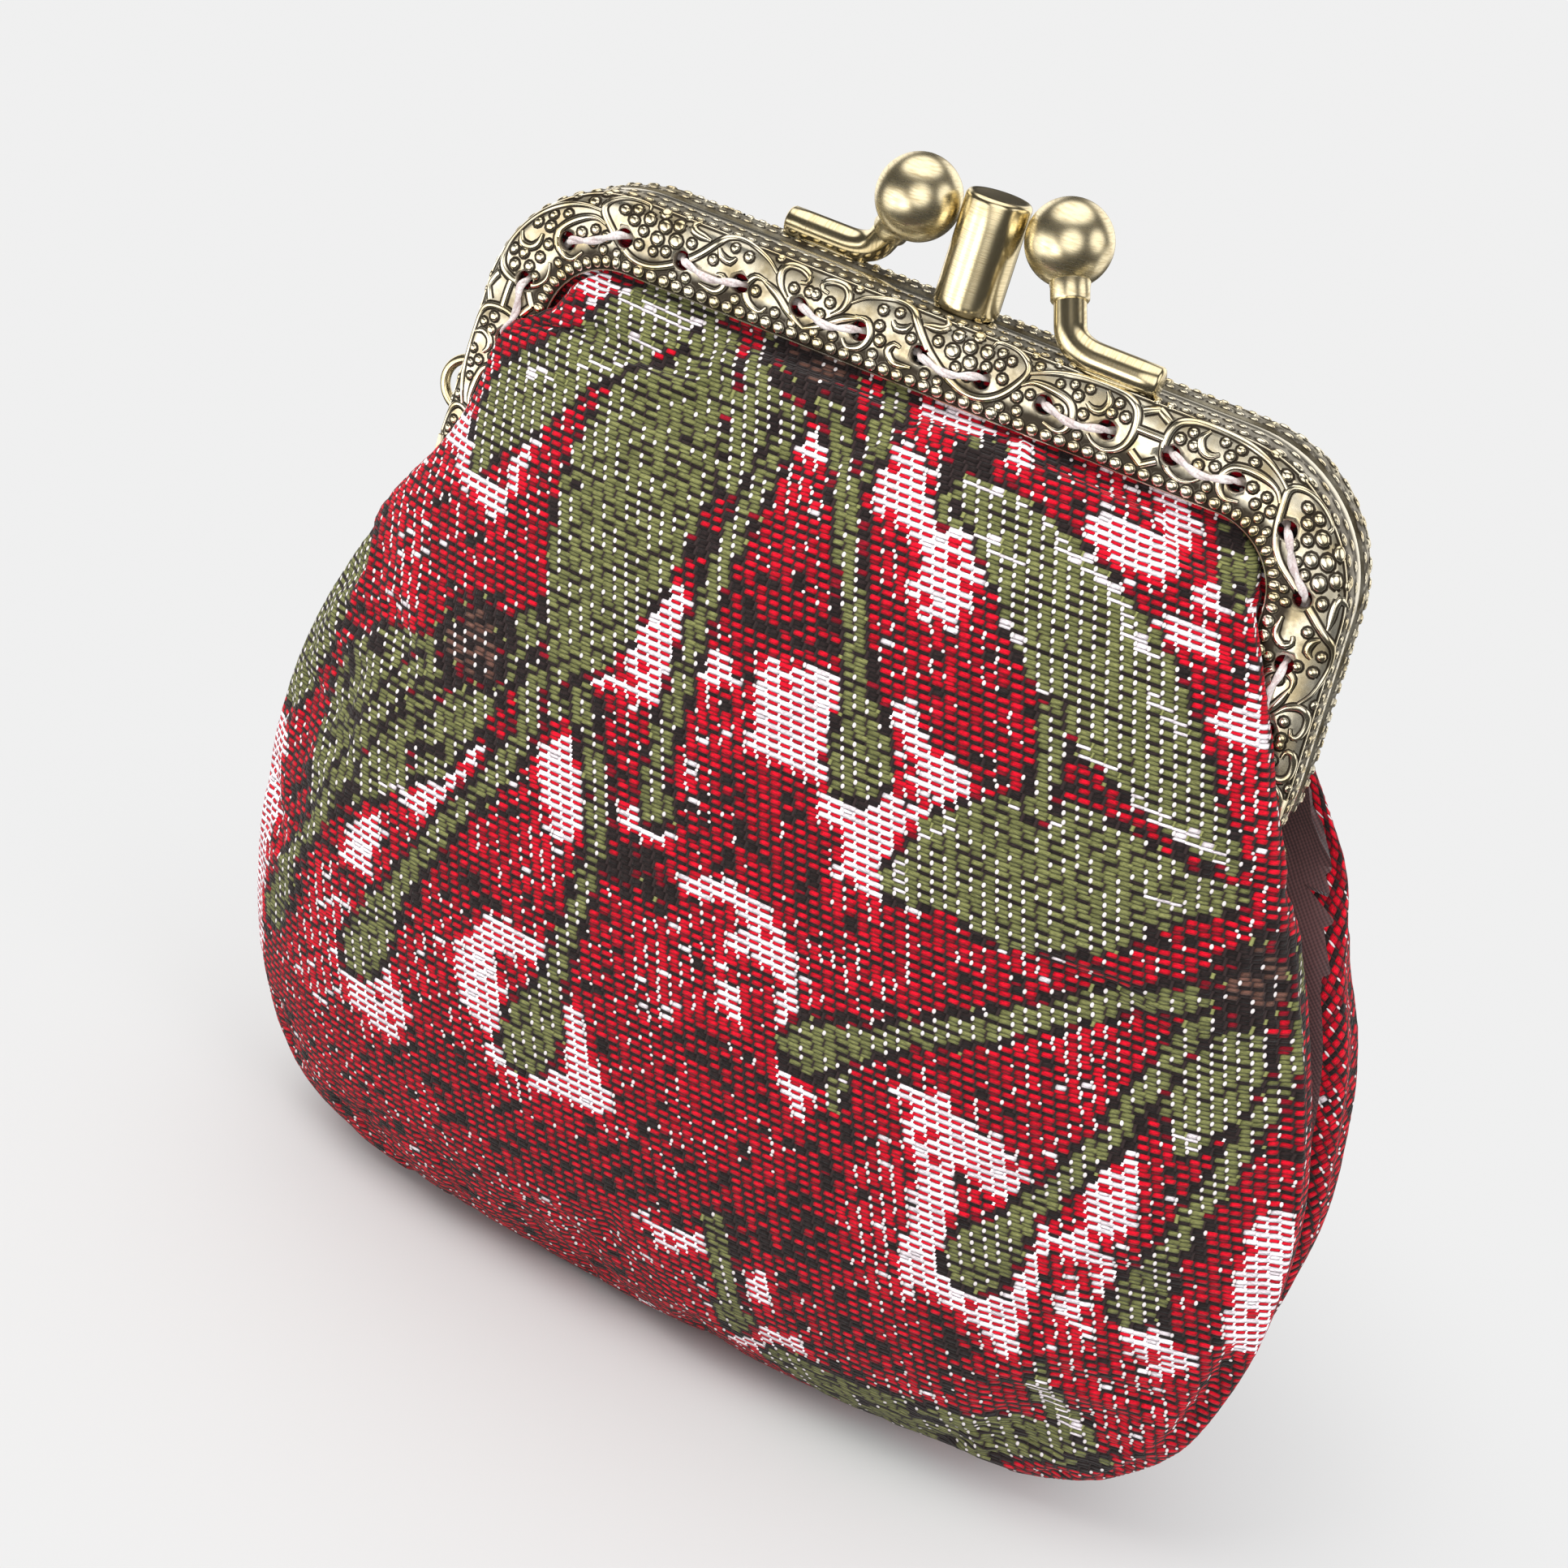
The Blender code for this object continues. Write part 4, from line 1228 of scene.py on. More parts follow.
# Sewing -------------------------------------------------------------------
@dataclass
class Stitching:
    """One running stitch of soft two-ply thread through all the sewing holes."""

    hand: Hand
    ply_radius: float = 0.24
    ply_offset: float = 0.14
    twist_length: float = 4.6
    slack: float = 0.50

    def route(self) -> Array:
        """Return the thread's own line, in at one hole and out at the next."""
        holes = ARCH.holes()
        outside, inside = ARCH.face + 0.42, ARCH.face - 1.25
        points = []
        for index, distance in enumerate(holes):
            out_ahead = index % 2 == 1
            drift = 0.25 * math.sin(index * 2.1)
            for step, share in ((-0.9, 0.0), (0.0, 0.5), (0.9, 1.0)):
                inset = ARCH.hole_inset + drift * 0.5
                x, z = ARCH.place(np.array([distance + step * 0.8]), np.array([inset]))
                depth = lerp(inside, outside, share if not out_ahead else 1.0 - share)
                points.append((x[0], self.hand.value * depth, z[0]))
            if index + 1 < len(holes):
                middle = (distance + holes[index + 1]) / 2
                x, z = ARCH.place(np.array([middle]), np.array([ARCH.hole_inset + self.slack]))
                depth = inside - 0.05 if out_ahead else outside + 0.12
                points.append((x[0], self.hand.value * depth, z[0]))
        line = spline(points, 8)
        return resample(line, int(arc_lengths(line)[-1] / 0.16))

    def build(self, material: Material) -> Piece:
        """Twist the two plies round the line and hand the thread over."""
        line = self.route()
        tangents = directions(line)
        up = np.array([0.0, 1.0, 0.0])
        first = np.cross(tangents, up)
        first /= np.maximum(np.linalg.norm(first, axis=1), 0.05)[:, None]
        second = np.cross(tangents, first)
        turn = arc_lengths(line) * 2.0 * np.pi / self.twist_length
        plies = []
        for ply in range(2):
            angle = turn + ply * np.pi
            swing = np.cos(angle)[:, None] * first + 0.75 * np.sin(angle)[:, None] * second
            plies.append(SHOP.tube(line + swing * self.ply_offset, self.ply_radius, 8))
        piece = SHOP.finish(self.hand.word + "_thread", SHOP.join(plies), 80.0)
        return SHOP.hand_over(piece, material, self.hand.jaw, "thread", self.hand.word + "_stitching")


# Cloth --------------------------------------------------------------------
BLACK: Colour = (0.020, 0.013, 0.013)
WINE: Colour = (0.210, 0.004, 0.013)
RED: Colour = (0.560, 0.003, 0.017)
WHITE: Colour = (0.880, 0.790, 0.830)
OLIVE: Colour = (0.160, 0.165, 0.060)
BARK: Colour = (0.125, 0.060, 0.045)


class Zone(Enum):
    """What a cell of the figured cloth shows, from dark to light and then the plain colours."""

    GROUND = 0
    WINE = 1
    RED = 2
    PINK = 3
    WHITE = 4
    LEAF = 5
    GLINT = 6                       # a leaf's edge, with fine white rows
    BARK = 7


# For the upper and for the lower floats of each zone: a chance, the colour at it, and the other colour.
FLOATS = {
    Zone.GROUND: ((0.30, WINE, BLACK), (0.12, WINE, BLACK)),
    Zone.WINE: ((0.78, RED, BLACK), (0.24, WINE, BLACK)),
    Zone.RED: ((0.94, RED, BLACK), (0.45, WINE, BLACK)),
    Zone.PINK: ((0.90, RED, WHITE), (0.60, RED, BLACK)),
    Zone.WHITE: ((0.97, WHITE, RED), (0.96, RED, WHITE)),
    Zone.LEAF: ((1.00, OLIVE, BLACK), (0.62, OLIVE, BLACK)),
    Zone.GLINT: ((0.80, OLIVE, WHITE), (0.90, WHITE, OLIVE)),
    Zone.BARK: ((0.70, BARK, BLACK), (0.25, BARK, BLACK)),
}
TONE_LIMITS = (0.20, 0.42, 0.64, 0.85)      # between the zones from GROUND to WHITE


@dataclass(frozen=True)
class Wash:
    """A soft stroke of light or shade over the fruit."""

    points: Numbers
    half: float
    tone: float
    soft: float = 1.6


@dataclass(frozen=True)
class Leaf:
    """A leaf along a spine, as across, down and half width in turn; shade is its share of dark floats."""

    spine: Numbers
    light: float = 0.4
    shade: float = 0.12


@dataclass(frozen=True)
class Stalk:
    """A stalk of even width that ends in a club, in the direction in which it is drawn."""

    points: Numbers
    half: float = 1.25
    club: float = 0.0


WASHES: tuple[Wash, ...] = tuple(Wash(*row) for row in (
    ((-36, 8, -31, 8), 1.6, 0.92, 0.8), ((-37, 12, -31, 18), 4, 0.46),
    ((-42, 28, -39, 40), 3.4, 0.76, 3), ((-34, 35, -30, 42), 4.4, 0.58, 2),
    ((-37, 29, -32, 30.6, -28, 31.8), 0.9, 1, 0.8), ((-41, 27, -38, 26.5), 1.3, 0.96, 0.8),
    ((-30, 20, -30.6, 25, -30, 29), 1.1, 0.95, 0.7), ((-27, 17, -27.6, 27, -27, 37), 1.6, 0.52),
    ((-25, 12, -22, 9), 1.2, 0.3), ((-18, 7, -16, 10), 2.2, 0.46),
    ((-11, 21, -11.4, 29), 1.6, 0.24, 0.8), ((-12.2, 32, -12, 37, -11.8, 40), 1.9, 1, 0.6),
    ((-16, 41.2, -9.6, 41), 0.9, 1, 0.5), ((-15, 44, -12, 44, -10, 47), 1.8, 0.55),
    ((-17, 44, -17, 46), 1.2, 0.2), ((-17.5, 47.3, -16, 47.3), 0.8, 1, 0.5),
    ((-18, 50, -16, 49), 1.6, 0.93, 1), ((-16, 52, -15, 55), 1.6, 0.96, 0.8),
    ((-6, 12, -5, 13.6), 0.9, 0.45), ((-6, 15.2, -4.6, 16), 1.6, 0.98, 0.6),
    ((-5, 18, -3.6, 20), 2.2, 0.76, 1.4), ((-4, 23, -1, 25), 2.6, 0.58, 1.2),
    ((-4, 29, 2, 30), 2.6, 0.34, 1), ((-1, 33.6, 5, 32.4), 1, 0.98, 0.8),
    ((1, 36.4, 5.6, 36.4), 2.6, 1, 0.8), ((-6, 35.6, -4.6, 37), 1.4, 0.94, 1),
    ((-4, 40, -2, 44), 2.4, 0.64, 1.6), ((0, 39.8, 8, 40, 16, 40), 0.9, 1, 0.5),
    ((-5, 45.6, -4, 47), 0.8, 0.9, 0.6), ((0, 46, 6, 46), 3, 0.42, 2),
    ((12.4, 41, 12.6, 45, 13, 49), 2.1, 0.97, 0.9), ((8, 42.6, 12, 43), 1.2, 0.93, 0.8),
    ((2, 7, 6, 6.6, 8.4, 7.4), 0.8, 0.95, 0.6), ((3, 10, 5, 11), 1.4, 0.72, 1.4),
    ((2.6, 13.4, 3.6, 15), 1.8, 1, 0.6), ((4, 16, 8, 17, 12, 17.6), 1.7, 1, 0.6),
    ((10.6, 20, 10.4, 22.6, 10, 24), 2.4, 0.97, 0.8), ((4.6, 20, 7, 25), 1.2, 0.62, 1),
    ((9, 28, 13, 28, 19, 29), 3.2, 0.6, 1.6), ((16, 26, 18, 24.6), 1.2, 0.46, 1),
    ((13, 31.6, 20, 32), 1.2, 0.44, 1), ((11.4, 32.6, 14, 34.6), 0.9, 0.97, 0.6),
    ((16, 36, 18, 37), 1.6, 0.97, 0.8), ((13, 37, 15.4, 38.6), 1.1, 0.84, 0.8),
    ((11.6, 7.8, 14, 8.2), 1.3, 0.96, 0.6), ((16, 8, 19, 9), 2, 0.44, 1.4),
    ((21.6, 11.4, 26, 12.4), 1.8, 0.98, 0.8), ((24.6, 6.6, 27, 8.6), 1.3, 0.97, 0.8),
    ((19, 6.4, 22, 8.4), 1.4, 0.66, 1.2), ((23, 15.6, 27, 16.6), 1.2, 0.62, 1),
    ((31, 13.6, 36, 14), 1, 0.97, 0.7), ((30, 17, 35, 18), 1.2, 0.9, 1),
    ((34, 15.6, 37, 17), 0.9, 0.62, 0.8), ((36, 21, 38.4, 24), 1.9, 0.98, 0.8),
    ((35, 20, 33, 21), 1.4, 0.5, 1), ((38, 28, 42, 32), 2.6, 0.72, 1.8),
    ((42, 36, 44, 39), 2.4, 0.62, 1.4), ((36, 26, 40, 32), 0.8, 0.48, 0.8),
    ((28, 32, 34, 34, 38, 35.4), 1.3, 0.4, 0.8), ((43, 40, 39, 44, 33, 48), 1.3, 0.58, 0.7),
    ((-26.4, 52, -27.6, 56, -30.4, 60), 1.1, 0.98, 0.6), ((-28, 50, -26, 49), 1.2, 0.3, 1),
    ((-34, 65, -35.4, 67.4, -35, 69), 1.7, 1, 0.6), ((-31, 63, -31, 67), 1.6, 0.58, 1.2),
    ((-36.4, 73, -37, 78, -36.6, 84), 2.2, 0.8, 1.8), ((-33.6, 78, -31, 81), 1.4, 0.94, 0.8),
    ((-31, 81.6, -27, 82.6), 1.3, 0.97, 0.6), ((-29, 77.6, -26, 81), 1, 0.95, 0.6),
    ((-34, 71, -36, 71), 1, 0.42, 1), ((-21, 58, -18, 62), 3.4, 0.6, 2.4),
    ((-25, 64, -20, 66), 1.2, 0.3, 1), ((-17, 57, -15, 60), 1.4, 0.68, 1),
    ((-19, 67.6, -14.4, 67.4), 1.2, 0.96, 0.8), ((-20, 71, -18, 73.6), 2.1, 1, 0.7),
    ((-17, 76, -14, 77), 1, 0.96, 0.7), ((-24, 70, -25.6, 76), 1.6, 0.66, 1.6),
    ((-14.6, 79, -9, 79, -4, 78.6), 1.3, 1, 0.6), ((-9.6, 71, -7.6, 74, -5, 77), 1.2, 0.96, 0.7),
    ((-12, 82.4, -10, 84.6), 1.6, 0.84, 0.9), ((-8, 83, -4, 85), 1.4, 0.58, 1.2),
    ((-9, 51.2, -5.4, 51.4), 0.8, 1, 0.5), ((-7, 56, -3, 58), 2.2, 0.16, 1.4),
    ((-6, 62, -5, 68), 2.6, 0.54, 2), ((-2, 61, -1, 66), 1.8, 0.74, 1.4),
    ((-2, 54.4, 2, 53.8, 5.6, 54), 0.8, 1, 0.5), ((0, 59, 1.6, 63), 1.8, 0.66, 1.6),
    ((6, 54.6, 9, 58, 10.6, 62), 1, 0.97, 0.7), ((11, 64, 12.6, 67, 16, 70.4), 0.95, 0.97, 0.6),
    ((5.6, 58.6, 6.4, 62.6), 2.2, 0.88, 1.6), ((8, 60, 9.6, 66), 0.9, 0.5, 0.8),
    ((12, 52, 16, 56), 3, 0.62, 1.8), ((6, 50, 9, 51), 1.6, 0.4, 1.4),
    ((24, 60, 30, 62), 2.6, 0.46, 1.8), ((34, 54, 38, 58), 3, 0.7, 2), ((32, 60, 37, 63), 2, 0.6, 1.6),
    ((23, 64, 27, 63.2), 0.6, 0.94, 0.5), ((26, 66.4, 31, 66.6, 34, 68.4), 1.9, 1, 0.7),
    ((27.4, 69, 28.6, 73, 30, 77), 1.6, 1, 0.6), ((29, 79, 34, 80.6, 39, 82), 1.7, 1, 0.6),
    ((28, 82, 29, 86), 1.4, 0.92, 1), ((38.6, 72, 39, 78, 39.4, 84), 0.95, 0.97, 0.6),
    ((24, 72, 25, 84), 2, 0.68, 1.8), ((41, 74, 41.2, 79, 41, 83), 0.45, 0.1, 0.5),
    ((42.6, 64, 43.6, 68), 1.9, 0.98, 0.8), ((41.4, 71.6, 44, 73), 1.3, 0.9, 0.9),
    ((43.6, 75, 44, 80), 1.9, 0.82, 1.4), ((46, 74.6, 49, 78, 53, 81.6), 1, 0.98, 0.7),
    ((47, 61, 49, 65), 1.5, 0.6, 1.2), ((51.8, 53, 50.8, 57, 49, 59), 0.8, 0.98, 0.5),
    ((58, 67, 58.6, 72, 60, 76), 2.4, 1, 0.9), ((54, 62, 53, 76), 1.6, 0.52, 1.4),
    ((57, 50, 58, 58), 1.2, 0.34, 1), ((51, 79, 54, 80.6), 1, 0.97, 0.7),
    ((47, 86, 53, 90), 2.6, 0.66, 2), ((33, 88, 22, 90), 3, 0.4, 2.6), ((8, 84, 18, 82), 3, 0.24, 2.4),
    ((-54, 66, -53, 76, -51, 86), 3.2, 0.96, 1.8), ((-48, 58, -47, 62), 1.6, 0.56, 1.2),
    ((-46, 64, -45.6, 70), 1.4, 0.22, 0.8), ((-47, 72, -46, 74), 1.4, 0.72, 1.2),
    ((4.4, 86, 3.6, 89), 0.8, 0.93, 0.6), ((6, 90, 9.6, 88), 1, 0.97, 0.6),
    ((16, 89, 16.4, 91), 0.9, 0.93, 0.6), ((15, 98, 20, 96), 1.8, 0.9, 1.2),
    ((5, 70, 9, 70), 2.4, 0.36, 1.6), ((18, 70, 18, 78), 1.6, 0.32, 1.2),
    ((2, 74, 12, 76), 2.4, 0.56, 2), ((-20, 84, -8, 88, 4, 83), 2.6, 0.38, 2.4),
    ((44, 98, 49, 102), 2.2, 0.62, 1), ((-40, 88, -30, 92), 3, 0.52, 2.4),
))
LEAVES: tuple[Leaf, ...] = tuple(Leaf(*row) for row in (
    ((-20.5, 7, 2, -25, 8.6, 3.4, -27.6, 13, 3.2, -30.4, 17, 3.2, -33.6, 21, 3.7, -35.4, 25, 3, -35.4,
        28, 1), 0.75, 0.1),
    ((-18.5, 9, 2.2, -18, 13, 4.4, -19, 18, 6.2, -19.4, 24, 6.8, -19.3, 30, 6.2, -19.3, 36, 4.7, -19.6,
        41, 2.6, -19.4, 45, 1.2), 0.3, 0.16),
    ((-13.4, 6.5, 1.3, -12, 12, 2.4, -11.4, 17, 2.4, -11.6, 20, 1.2), 0.55, 0.2),
    ((8.6, 9, 1.5, 8, 12, 1.6, 8.4, 15, 1.2), 0.2, 0.45),
    ((9, 12.6, 1.4, 13, 14.4, 2.8, 18, 17.4, 4.3, 23, 21, 5.2, 28, 24.6, 5.2, 33, 28.4, 3.9, 38, 32,
        2.1, 42.4, 34.6, 0.7), 0.85, 0.06),
    ((16.4, 46, 1.9, 20, 43, 4.7, 25, 41.4, 6.8, 30, 40.4, 6.3, 35, 39.4, 4.7, 39, 38.4, 2.5, 44, 37.4,
        1), 0.3, 0.2),
    ((-32, 46.4, 2.4, -36, 51, 6.4, -38.4, 55, 7.4, -40.6, 60, 5.6, -42, 65, 2.6, -42, 68.4, 0.9),
        0.38, 0.34),
    ((-24.6, 40, 2, -26.6, 45, 1.9, -28.6, 50, 2.4, -30.4, 55, 2.2), 0.4, 0.34),
    ((-49, 43, 2.5, -52, 50, 4.8, -53, 58, 3), 0.8, 0.1),
    ((47, 47, 3.2, 48, 52, 4, 48, 56, 3.6, 48, 59.4, 1.6), 0.45, 0.14),
    ((53, 43, 1.6, 54.4, 48, 1.5, 54.6, 53, 1), 0.7, 0.1),
    ((32, 7, 2.2, 33, 10.6, 2, 33.4, 13, 0.8), 0.25, 0.35), ((17, 64.6, 1.3, 17.4, 67.4, 0.8), 0.3, 0.1),
    ((42.4, 85, 0.5, 44, 89, 1.4, 48, 92.6, 1.4, 50, 94, 0.6), 0.85, 0.05),
    ((20, 99, 2.2, 28, 101, 4.4, 37, 99, 4.4, 44, 96, 2.8, 51, 95.6, 1.2), 0.25, 0.3),
))
GLINTS: tuple[tuple[float, Numbers], ...] = (       # half width, then the line
    (0.6, (-29, 7.6, -21, 7.6)), (0.5, (-27, 11, -23.4, 11)), (0.5, (-30, 16, -25.6, 14.6)),
    (0.5, (-34, 18.6, -30, 18)), (0.5, (-40, 23.4, -37, 22.6)), (0.5, (8.4, 11.6, 14, 12, 18, 12.4)),
    (0.6, (11, 15.6, 15, 16.6)), (0.7, (18, 14, 23, 15.6, 26, 17.6)), (0.5, (25, 18.6, 29, 19.6)),
    (0.5, (30, 23, 34, 25)), (0.5, (15, 21, 18, 23)), (0.5, (20, 25.6, 23, 26.6)),
    (0.5, (26, 29, 30, 30)), (0.6, (32, 31.6, 41, 34)), (0.5, (23, 36, 27, 36)),
    (0.4, (36, 38.6, 39, 39)), (0.5, (19, 38.6, 17, 41)), (0.5, (15.6, 44, 17, 46.6)),
    (0.5, (20, 49, 29, 48.4)), (0.6, (-34.6, 60.2, -31, 59)), (0.5, (45, 58.8, 50, 59.6)),
    (0.8, (42.6, 87, 48, 92.6)), (0.5, (16.4, 64.6, 18.4, 65)),
)
STALKS: tuple[Stalk, ...] = tuple(Stalk(*row) for row in (
    ((-1.6, 4, -0.6, 9, -0.4, 13, -1, 16.4), 1.35),
    ((-8.4, 10, -8.8, 18, -8.9, 27, -8.7, 34, -8.5, 40, -8.2, 46, -7, 49.4), 1.15, 0.5),
    ((-6.6, 8.6, -4, 12.6, -0.6, 17.6, 2, 22.6, 4.8, 28, 7.4, 33, 9.4, 38.4), 1.2, 1.6),
    ((22.6, 27.4, 24.4, 30.6, 25, 35.6), 1.15),
    ((-22.4, 43, -21.6, 49, -24, 55, -26.3, 60, -28.5, 65, -30.2, 70, -32, 77), 1.3, 1.5),
    ((-17.6, 42.6, -14.8, 47, -12.4, 51, -11.2, 56, -11.2, 63, -11.5, 70, -12, 76.4), 1.15, 1.9),
    ((-35, 48, -37.2, 53, -39, 59, -41, 66, -43.6, 72, -45.4, 80), 1.2, 0.9),
    ((46, 45.4, 39, 48.6, 31, 53.4, 25, 57, 19, 60.6, 13.6, 64), 1.35, 1.2),
    ((45, 48.6, 43.2, 55, 41.4, 60.6, 39, 66, 36.6, 71, 34.4, 76.6), 1.3, 1.8),
    ((54.2, 47, 54, 53, 52.6, 59, 51.2, 65, 49.6, 70, 48.6, 76), 1.25, 1.1),
    ((10.4, 85, 12.6, 90, 14.4, 95.6), 1.2, 1),
))
KNOTS: tuple[Point, ...] = ((-9.0, 6.6), (-29.6, 43.2), (48.2, 44.0))


@dataclass
class Figure:
    """The woven figure, laid down in the order of its tables: fruit, leaves, stalks and knots."""

    seed: int
    shift: Point = (0.0, 0.0)
    mirror: bool = False

    def distance_to(self, points: Array, u: Array, v: Array) -> tuple[Array, Array]:
        """Measure every place against a bent line.

        Args:
            points: The line's points, as rows; a third column is carried along.
            u: Places across.
            v: Places down.

        Returns:
            The distance to the line, and the third column (or the way along) at the nearest point.
        """
        nearest = np.full(u.shape, 1e9)
        carried = np.zeros(u.shape)
        for index, (start, end) in enumerate(zip(points, points[1:])):
            run = end - start
            part = ((u - start[0]) * run[0] + (v - start[1]) * run[1]) / max(run[0] ** 2 + run[1] ** 2, 1e-9)
            part = np.clip(part, 0.0, 1.0)
            away = np.hypot(u - start[0] - part * run[0], v - start[1] - part * run[1])
            value = start[2] + part * run[2] if len(start) > 2 else (index + part) / (len(points) - 1)
            carried = np.where(away < nearest, value, carried)
            nearest = np.minimum(nearest, away)
        return nearest, carried

    def tones(self, u: Array, v: Array, cloud: Cloudy) -> Array:
        """Paint the light and shade of the fruit."""
        mottle = cloud.read(u * 0.55 + v * 0.2, v - u * 0.15, 3.4)
        fine = cloud.read(u * 0.7 + 31.0, v * 1.6, 1.5, 2)
        tone = 0.53 + 0.24 * mottle
        for wash in WASHES:
            away, _ = self.distance_to(spline(spots(wash.points), 3), u, v)
            cover = 1.0 - smooth(away + 0.45 * fine, wash.half - 0.3, wash.half + wash.soft + 0.5)
            tone = lerp(tone, wash.tone, cover)
        return tone + 0.11 * fine

    def zones(self, u: Array, v: Array) -> tuple[Array, Array]:
        """Say what every place of the flat cloth shows.

        Args:
            u: Places across.
            v: Places down.

        Returns:
            The zones, and how light each place of a leaf or stalk is, from 0 to 1.
        """
        u = (-u if self.mirror else u) - self.shift[0]
        v = v - self.shift[1]
        cloud = Cloudy(self.seed)
        ragged = 0.30 * cloud.read(u * 1.1, v * 1.3, 1.4, 2)
        zone = np.digitize(self.tones(u, v, cloud), TONE_LIMITS)
        light = np.zeros(u.shape)
        for leaf in LEAVES:
            spine = spline(spots(leaf.spine, 3), 4)
            away, half = self.distance_to(spine, u, v)
            edge = away + ragged - half
            zone = np.where((edge >= 0.0) & (edge < 0.40), Zone.GROUND.value, zone)
            inside = edge < 0.0
            zone = np.where(inside, Zone.LEAF.value, zone)
            patch = cloud.read(u * 0.6 + 17.0, v + 3.0, 3.6, 2)
            veins = leaf.light + 0.45 * patch + 0.35 * smooth(edge, -1.6, -0.2)
            shaded = cloud.read(u * 0.8 + 40.0, v * 1.2, 2.4, 2) > 1.0 - 1.9 * leaf.shade
            light = np.where(inside, np.where(shaded, -1.0, veins), light)
        for half, points in GLINTS:
            away, _ = self.distance_to(spline(spots(points), 3), u, v)
            zone = np.where((away < half) & (zone == Zone.LEAF.value), Zone.GLINT.value, zone)
        for stalk in STALKS:
            away, along = self.distance_to(spline(spots(stalk.points), 4), u, v)
            half = 0.86 * stalk.half + stalk.club * smooth(along, 0.78, 0.97)
            edge = away + 0.6 * ragged - half
            zone = np.where((edge >= 0.0) & (edge < 0.62), Zone.GROUND.value, zone)
            zone = np.where(edge < 0.0, Zone.LEAF.value, zone)
            light = np.where(edge < 0.0, 0.42 + 0.5 * cloud.read(u + 11.0, v, 1.8, 2), light)
        for across, down in KNOTS:
            away = np.hypot(u - across, v - down) + 2.4 * ragged
            zone = np.where(away < 4.6, Zone.GROUND.value, zone)
            zone = np.where(away < 2.8, Zone.BARK.value, zone)
        return zone, light

    def threads(self, run: Array, tie: Array, row: Array) -> dict[str, Array]:
        """Choose the threads of every cell.

        Args:
            run: The float that each cell starts in and the one that it ends in, as rows.
            tie: The number of each cell's nearest tie.
            row: The number of each cell's row.

        Returns:
            Attribute name to an array of colours.
        """
        rng = np.random.default_rng(self.seed + 1)
        luck = rng.random((512, 512))
        pair = np.floor(row / 2.0)
        lower = row % 2 == 1
        middle = (pair + 0.5) * WEAVE.pair_pitch
        colours = [self.weft(step, row, lower, middle, luck) for step in run]
        zone, light = self.zones(WEAVE.along(tie, row), middle)
        chance = luck[(tie + 300).astype(int) % 512, row.astype(int) % 512]
        knot, gap, dots, lift = self.ties(zone, light, lower, chance, (tie + pair) % 2 == 0)
        ones = np.ones(len(row))
        return {
            "weft": np.column_stack([colours[0], ones]),
            "weft_next": np.column_stack([colours[1], ones]),
            "tie": np.column_stack([knot, ones]),
            "kind": np.column_stack([(gap + 1.0) / 2.0, dots, lift, ones]),
        }

    def weft(self, run: Array, row: Array, lower: Array, middle: Array,
             luck: Array) -> Array:
        """Choose the colour of a float in each cell, from what its middle shows."""
        zone, light = self.zones(WEAVE.along(run + 0.5, row), middle)
        chance = luck[run.astype(int) % 512, row.astype(int) % 512]
        colour = np.tile(BLACK, (len(zone), 1))
        for kind, rows in FLOATS.items():
            here = zone == kind.value
            bare = (light < -0.5) & (kind is Zone.LEAF)
            upper, under = (np.where(((chance < limit) & ~bare)[:, None], often, else_)
                            for limit, often, else_ in rows)
            colour[here] = np.where(lower[:, None], under, upper)[here]
        return colour

    def ties(self, zone: Array, light: Array, lower: Array, chance: Array,
             even: Array) -> tuple[Array, Array, Array, Array]:
        """Choose the warp that shows at each tie: its colour, gap, white dot and the floats' height."""
        colour = np.tile(BLACK, (len(zone), 1))
        gap = np.full(zone.shape, 0.17)
        dots = np.zeros(zone.shape)
        lift = np.where(lower, 0.45, 1.0)
        ground = zone == Zone.GROUND.value
        colour[ground & (chance < 0.10)] = OLIVE
        gap[ground] = 0.36
        gap[zone == Zone.WINE.value] = 0.30
        red = zone == Zone.RED.value
        dots[red & (chance < 0.16)] = 1.0
        gap[red & lower] = 0.32
        pink = zone == Zone.PINK.value
        dots[pink & (chance < np.where(lower, 0.34, 0.66))] = 1.0
        gap[pink] = 0.26
        white = zone == Zone.WHITE.value
        colour[white] = WHITE
        gap[white & ~lower] = -0.4
        lift[white & lower] = 0.35
        leaf = zone == Zone.LEAF.value
        dots[leaf & ~lower & (chance < 0.10 + 1.25 * light)] = 1.0
        gap[leaf & ~lower] = np.where(even & (light < 0.45), -0.3, 0.15)[leaf & ~lower]
        glint = zone == Zone.GLINT.value
        gap[glint & lower] = -0.3
        dots[glint & ~lower & (chance < 0.5)] = 1.0
        colour[glint] = OLIVE
        lift[glint & lower] = 0.9
        bark = zone == Zone.BARK.value
        dots[bark & ~lower & (chance < 0.30)] = 1.0
        return colour, gap, dots, lift


